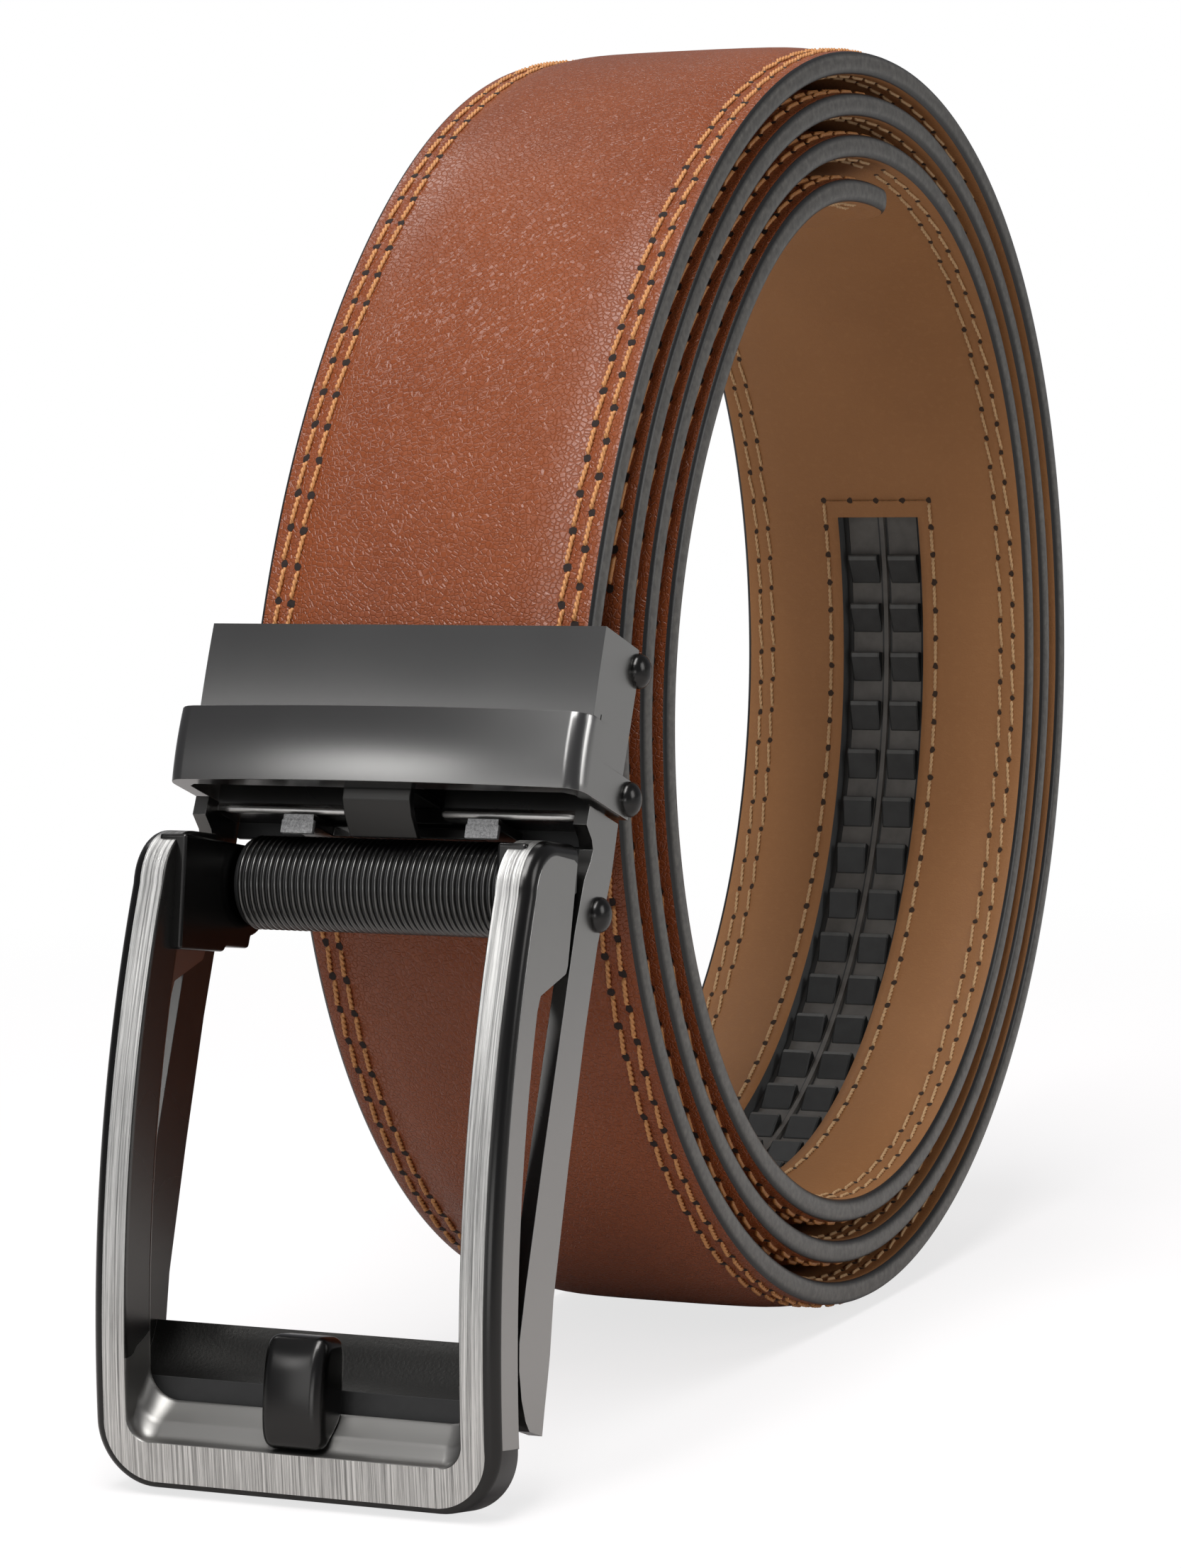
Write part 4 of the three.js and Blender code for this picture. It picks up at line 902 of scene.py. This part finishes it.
def under_keeper():
    """A black sheet behind the ribbed bar and black blocks beside it as painted shade, the pawl's pads, and a
    bright rod on the bridge's foot as painted highlight.
    """
    plate_piece("bridge_shade_sheet", box_outline(SHADE_SHEET_Y, SHADE_SHEET_Z), -SHADE_SHEET_HALF, SHADE_SHEET_HALF,
                in_buckle, "belt", SHADE, "dark_gunmetal", 0.08, 1)
    for side, label in ((1, "right"), (-1, "left")):
        plate_piece(f"bridge_shade_block_{label}", box_outline(SHADE_SHEET_Y, SHADE_BLOCK_Z),
                    *sorted(x * side for x in SHADE_BLOCK_X), in_buckle, "belt", SHADE,
                    "dark_gunmetal", 0.05, 1)
        plate_piece(f"pawl_pad_{label}", box_outline(PAD_Y, PAD_Z), PAD_AT * side - PAD_HALF,
                    PAD_AT * side + PAD_HALF, in_buckle, "belt", STEEL, "bare_steel", 0.12, 2)
    # A bright rod along the bridge's foot: painted highlight.
    ends = [(4.7, 0.03), (4.75, 0.22), (5.0, 0.34), (17.6, 0.35), (18.1, 0.25), (18.3, 0.03)]
    for side, label in ((1, "right"), (-1, "left")):
        v, f = lathe(ends, 16)
        v[:, 0] *= side
        v[:, 1] += BRIDGE_FRONT + 0.02
        v[:, 2] += BRIDGE_FOOT + 0.3
        obj = make_object(f"bridge_lip_highlight_{label}", in_buckle(v), f[:, ::-side], [LIP_HIGHLIGHT])
        finish_piece(obj, "belt", ())


PRONG_WIDTH, PRONG_HEIGHT, PRONG_DEPTH, PRONG_PROUD = 6.3, 10.3, 4.6, 0.5


def prong():
    """A pillow-shaped stub: superellipse sections across X, with a bellied front."""
    foot = FRAME_FOOT + FOOT_HEIGHT + SEAT_GAP
    front = float(frame_front_at(foot)) - PRONG_PROUD
    middle_y, middle_z = front + PRONG_DEPTH / 2, foot + PRONG_HEIGHT / 2
    half = np.array([PRONG_DEPTH / 2, PRONG_HEIGHT / 2])
    phi = np.linspace(0, 2 * np.pi, 72, endpoint=False)

    def squircle(angle, radii, power):
        c, s = np.cos(angle), np.sin(angle)
        return np.stack([radii[0] * np.sign(c) * np.abs(c) ** power,
                         radii[1] * np.sign(s) * np.abs(s) ** power], -1)

    rings = []
    ends = PRONG_WIDTH / 2 * np.sin(np.linspace(-np.pi / 2, np.pi / 2, 41))
    edge = 1.15
    for x in ends:
        over = max(0.0, abs(x) - (PRONG_WIDTH / 2 - edge))
        shrink = edge - math.sqrt(max(0.0, edge ** 2 - over ** 2))
        yz = squircle(phi, half - shrink, 0.42)
        share = np.clip((yz[:, 1] / half[1] + 1) / 2, 0, 1)
        ahead = np.clip(-yz[:, 0] / half[0], 0, 1)
        belly = 0.75 * np.sin(np.pi * share) * ahead * (1 - 0.35 * (x / (PRONG_WIDTH / 2)) ** 2)
        sink = LEDGE_RISE * 0.75 * np.clip(yz[:, 0] / half[0] + 0.35, 0, 1) * np.clip(1 - share * 2.2, 0, 1)
        rings.append(np.stack([np.full(len(phi), x), middle_y + yz[:, 0] - belly,
                               middle_z + yz[:, 1] + sink], -1))
    rings = np.array(rings)
    count = rings.shape[1]
    faces = [tuple(f) for f in grid_faces(len(rings), count, close_cols=True)]
    faces += [tuple(range(count))[::-1], tuple((len(rings) - 1) * count + i for i in range(count))]
    # The prong takes the near-black gunmetal copy: painted shade.
    obj = make_object("prong_stub", in_front_frame(rings.reshape(-1, 3)), faces, [GLOSS_SHADE])
    bm = bmesh.new()
    bm.from_mesh(obj.data)
    bmesh.ops.recalc_face_normals(bm, faces=bm.faces)
    bm.to_mesh(obj.data)
    bm.free()
    finish_piece(obj, "frame", ["prong"])


prong()


# Turned pieces

def lathe(profile, segs):
    """Closed surface of revolution about X from (x, r) rows."""
    phi = np.linspace(0, 2 * np.pi, segs, endpoint=False)
    rows = np.array(profile, float)
    pts = np.stack(np.broadcast_arrays(rows[:, 0:1], rows[:, 1:2] * np.cos(phi)[None],
                                       rows[:, 1:2] * np.sin(phi)[None]), -1)
    return pts.reshape(-1, 3), grid_faces(len(rows), segs, close_cols=True)


# One rib of the bar: places along the pitch, how deep each lies, and whether the row from it on is ridge;
# rows that are not ridge, like the bar's ends, are painted black as shade
RIB = [(0.0, 1.0, 0), (0.3, 1.0, 0), (0.36, 0.3, 1), (0.48, 0.05, 1), (0.6, 0.0, 1), (0.72, 0.05, 1),
       (0.85, 0.3, 1), (0.92, 0.8, 0)]


def ribbed_bar():
    pitch, depth = 0.62, 0.3
    end = BAR_LENGTH / 2
    ribs = int((BAR_LENGTH - 0.8) / pitch)
    first = -ribs * pitch / 2
    profile = [(-end, 0.01, 0), (-end, BAR_RADIUS - 0.5, 0), (-end + 0.15, BAR_RADIUS - 0.3, 0)]
    for k in range(ribs):
        profile += [(first + (k + share) * pitch, BAR_RADIUS - depth * low, kind) for share, low, kind in RIB]
    profile += [(end - 0.15, BAR_RADIUS - 0.3, 0), (end, BAR_RADIUS - 0.5, 0), (end, 0.01, 0)]
    v, f = lathe([row[:2] for row in profile], 72)
    v[:, 2] += BAR_UP
    kinds = np.repeat([row[2] for row in profile[:-1]], 72)
    # Grooves and ends take the near-black material: painted shade.
    obj = make_object("ribbed_bar_ribs", in_buckle(v), f[:, ::-1], [SHADE, RIDGE], kinds)
    finish_piece(obj, "belt", ["ribbed_bar"])


under_keeper()
ribbed_bar()

DOME = [(1.63, -0.3), (1.65, 0.05), (1.66, 0.18), (1.62, 0.34), (1.5, 0.55), (1.32, 0.74), (1.05, 0.92),
        (0.7, 1.05), (0.35, 1.11), (0.01, 1.13)]


def rivet_head(name, node, y, z, face):
    side = 1 if node.endswith("right") else -1
    v, f = lathe([(face + h, r) for r, h in DOME], 40)
    v[:, 1] += y
    v[:, 2] += z
    v[:, 0] *= side
    # Rivet heads take the near-black gunmetal copy: painted shade.
    obj = make_object(name, in_buckle(v), f[:, ::-side], [GLOSS_SHADE])
    finish_piece(obj, "belt", [node])


KEEPER_HALF = BUCKLE_HALF + 0.9
for label, (y, z, face) in {"clamp_rivet": (1.7, 22.6, BUCKLE_HALF), "keeper_rivet": (1.3, 10.2, KEEPER_HALF),
                            "hinge_rivet": (0.0, -HINGE_DROP, BUCKLE_HALF)}.items():
    for side in ("right", "left"):
        rivet_head(f"{label}_head_{side}", f"{label}_{side}", y, z, face)


# Ratchet track

def ratchet_track():
    """Two columns of wedge teeth that drop towards the strap's tip, on a floor strip with a rib."""
    pitch, length = 5.8, 3.5
    floor, crest = 0.62, 1.8
    total = TRACK_S1 - TRACK_S0
    rows = int((total - pitch) // pitch)
    margin = (total - (rows - 1) * pitch - length) / 2
    verts, faces, kinds = [], [], []
    # Outline of one tooth: distance along, depth below the middle line, material of the face that follows (1
    # is the crest's painted highlight)
    side_view = [(0.12, floor - 0.1, 0), (0, crest - 0.22, 1), (0.16, crest - 0.04, 1), (0.62, crest, 0),
                 (length - 0.1, floor + 0.14, 0), (length, floor + 0.05, 0), (length, floor - 0.1, 0)]
    cross = [(0.68, 0.14), (0.84, 0.0), (4.04, 0.0), (4.2, 0.14)]
    n = len(side_view)
    for k in range(rows):
        a = TRACK_S0 + margin + k * pitch
        for side in (1, -1):
            start = len(verts)
            for x, drop in cross:
                s = np.array([a + row[0] for row in side_view])
                h = np.array([max(floor - 0.1, row[1] - drop) for row in side_view])
                verts.extend(strap_points(s, side * x, -h).tolist())
            for i in range(len(cross) - 1):
                for j in range(n):
                    q = [start + i * n + j, start + i * n + (j + 1) % n, start + (i + 1) * n + (j + 1) % n,
                         start + (i + 1) * n + j]
                    faces.append(q if side < 0 else q[::-1])
                    kinds.append(side_view[j][2])
            caps = [[start + j for j in range(n)], [start + (len(cross) - 1) * n + j for j in range(n)]]
            faces += [caps[0][::-1], caps[1]] if side < 0 else [caps[0], caps[1][::-1]]
            kinds += [0, 0]
    obj = make_object("track_teeth", np.array(verts), faces, [RUBBER, TRACK_CREST_HIGHLIGHT], kinds, smooth=False)
    finish_piece(obj, "belt", ["ratchet_track"])
    grid_s = np.linspace(WINDOW_S0, WINDOW_S1, 200)
    sheet_x = np.array([-4.85, -4.3, -4.2, -0.6, -0.36, -0.26, 0.26, 0.36, 0.6, 4.2, 4.3, 4.85])
    sheet_h = -np.array([0.55, 0.55, floor, floor, floor, 1.0, 1.0, floor, floor, floor, 0.55, 0.55])
    # Cells that take the lighter rubber copy: painted light.
    light = np.array([0, 0, 1, 0, 1, 1, 1, 0, 1, 0, 0])
    pts = strap_points(grid_s[:, None], sheet_x[None, ::-1], sheet_h[None, ::-1])
    sheet = make_object("track_floor_strip", pts.reshape(-1, 3), grid_faces(200, 12), [RUBBER, TRACK_PAINTED_LIGHT],
                        np.tile(light[::-1], 199), smooth=False)
    finish_piece(sheet, "belt", ())


ratchet_track()


# Floor, lights and camera

def stage():
    """A pale floor that fades to plain white away from the belt."""
    rings = np.concatenate([[0.01], np.linspace(30, 400, 12), [800, 1600, 4000, 9000]])
    phi = np.linspace(0, 2 * np.pi, 48, endpoint=False)
    pts = np.stack([np.outer(rings, np.cos(phi)), np.outer(rings, np.sin(phi)),
                    np.zeros((len(rings), 48))], -1)
    m = Nodes("floor", Roughness=0.8, Specular_IOR_Level=0.1)
    place = m.add("ShaderNodeTexCoord").outputs["Object"]
    tone = m.mix(m.noise(place, 9.0, 3), (0.95, 0.9, 0.905, 1), (0.97, 0.93, 0.935, 1))
    seen = m.add("ShaderNodeLightPath").outputs["Is Camera Ray"]
    m.to("Base Color", m.mix(seen, (0.56, 0.54, 0.53, 1), tone))
    distance = m.add("ShaderNodeVectorMath", {0: place}, operation="LENGTH").outputs["Value"]
    fade = m.spread(distance, 0.17, 0.36)
    glow = m.add("ShaderNodeEmission", {"Color": (1, 1, 1, 1)})
    dull = m.add("ShaderNodeEmission", {"Color": (0.45, 0.45, 0.45, 1)})
    lit = m.add("ShaderNodeMixShader", {0: seen, 1: dull.outputs[0], 2: glow.outputs[0]})
    lift = m.math("MULTIPLY", seen, 0.74)
    near = m.add("ShaderNodeMixShader", {0: lift, 1: m.shader.outputs[0], 2: glow.outputs[0]})
    both = m.add("ShaderNodeMixShader", {0: fade, 1: near.outputs[0], 2: lit.outputs[0]})
    m.tree.links.new(both.outputs[0], m.tree.nodes["Material Output"].inputs["Surface"])
    make_object("floor", pts.reshape(-1, 3), grid_faces(len(rings), 48, close_cols=True), [m.mat])


stage()


def area_light(name, place, target, size, power):
    """A softbox: its middle, what it faces, its width and height in mm and its power in watts."""
    data = bpy.data.lights.new(name, "AREA")
    data.energy = power
    data.shape = "RECTANGLE"
    data.size, data.size_y = (v * MM for v in size)
    obj = bpy.data.objects.new(name, data)
    obj.location = Vector(place) * MM
    obj.rotation_mode = "QUATERNION"
    obj.rotation_quaternion = (Vector(target) - Vector(place)).to_track_quat("-Z", "Y")
    bpy.context.scene.collection.objects.link(obj)


BUCKLE_AT = (0, -60, 65)
area_light("overhead", (60, -330, 980), (0, -20, 60), (420, 800), 9.5)
area_light("plate_glow", (-400, -760, 420), BUCKLE_AT, (140, 140), 0.35)
area_light("frame_front", (-250, -1020, 230), BUCKLE_AT, (440, 420), 0.8)
area_light("crown_strip", (-60, -760, 800), (0, 0, 90), (150, 600), 2.2)
area_light("upper_left", (-600, 300, 800), (0, -20, 110), (320, 320), 1.1)
area_light("low_front", (380, -1000, 60), (0, 0, 40), (480, 260), 1.0)
area_light("right", (950, 150, 420), (0, 0, 70), (420, 500), 2.0)

world = bpy.data.worlds.new("studio")
bpy.context.scene.world = world
world.use_nodes = True
backdrop = world.node_tree.nodes["Background"]
seen = world.node_tree.nodes.new("ShaderNodeLightPath")
tint = world.node_tree.nodes.new("ShaderNodeMix")
tint.data_type = "RGBA"
tint.inputs[6].default_value = (0.2, 0.2, 0.21, 1)
tint.inputs[7].default_value = (1, 1, 1, 1)
world.node_tree.links.new(seen.outputs["Is Camera Ray"], tint.inputs[0])
world.node_tree.links.new(tint.outputs[2], backdrop.inputs["Color"])

bpy.context.scene.view_settings.view_transform = "Standard"

FOCAL_PX, IMAGE_H = 6717.0, 2212.0
CAMERA_AT = np.array([201.9, -442.0 + COIL_Y - 21.5, 105.9 + ORIGIN[2] - 52.3])
PAN, TILT, ROLL = (math.radians(v) for v in (24.93, 5.64, -1.31))


def make_camera():
    forward = Vector((-math.sin(PAN) * math.cos(TILT), math.cos(PAN) * math.cos(TILT), -math.sin(TILT)))
    level = Vector((math.cos(PAN), math.sin(PAN), 0))
    upright = level.cross(forward)
    right = level * math.cos(ROLL) + upright * math.sin(ROLL)
    up = upright * math.cos(ROLL) - level * math.sin(ROLL)
    data = bpy.data.cameras.new("camera")
    data.sensor_width = 36
    data.lens = FOCAL_PX / IMAGE_H * 36
    data.clip_start, data.clip_end = 0.01, 20
    cam = bpy.data.objects.new("camera", data)
    turn = Matrix((right, up, -forward)).transposed().to_4x4()
    cam.matrix_world = Matrix.Translation(Vector(CAMERA_AT) * MM) @ turn
    bpy.context.scene.collection.objects.link(cam)
    bpy.context.scene.camera = cam


make_camera()
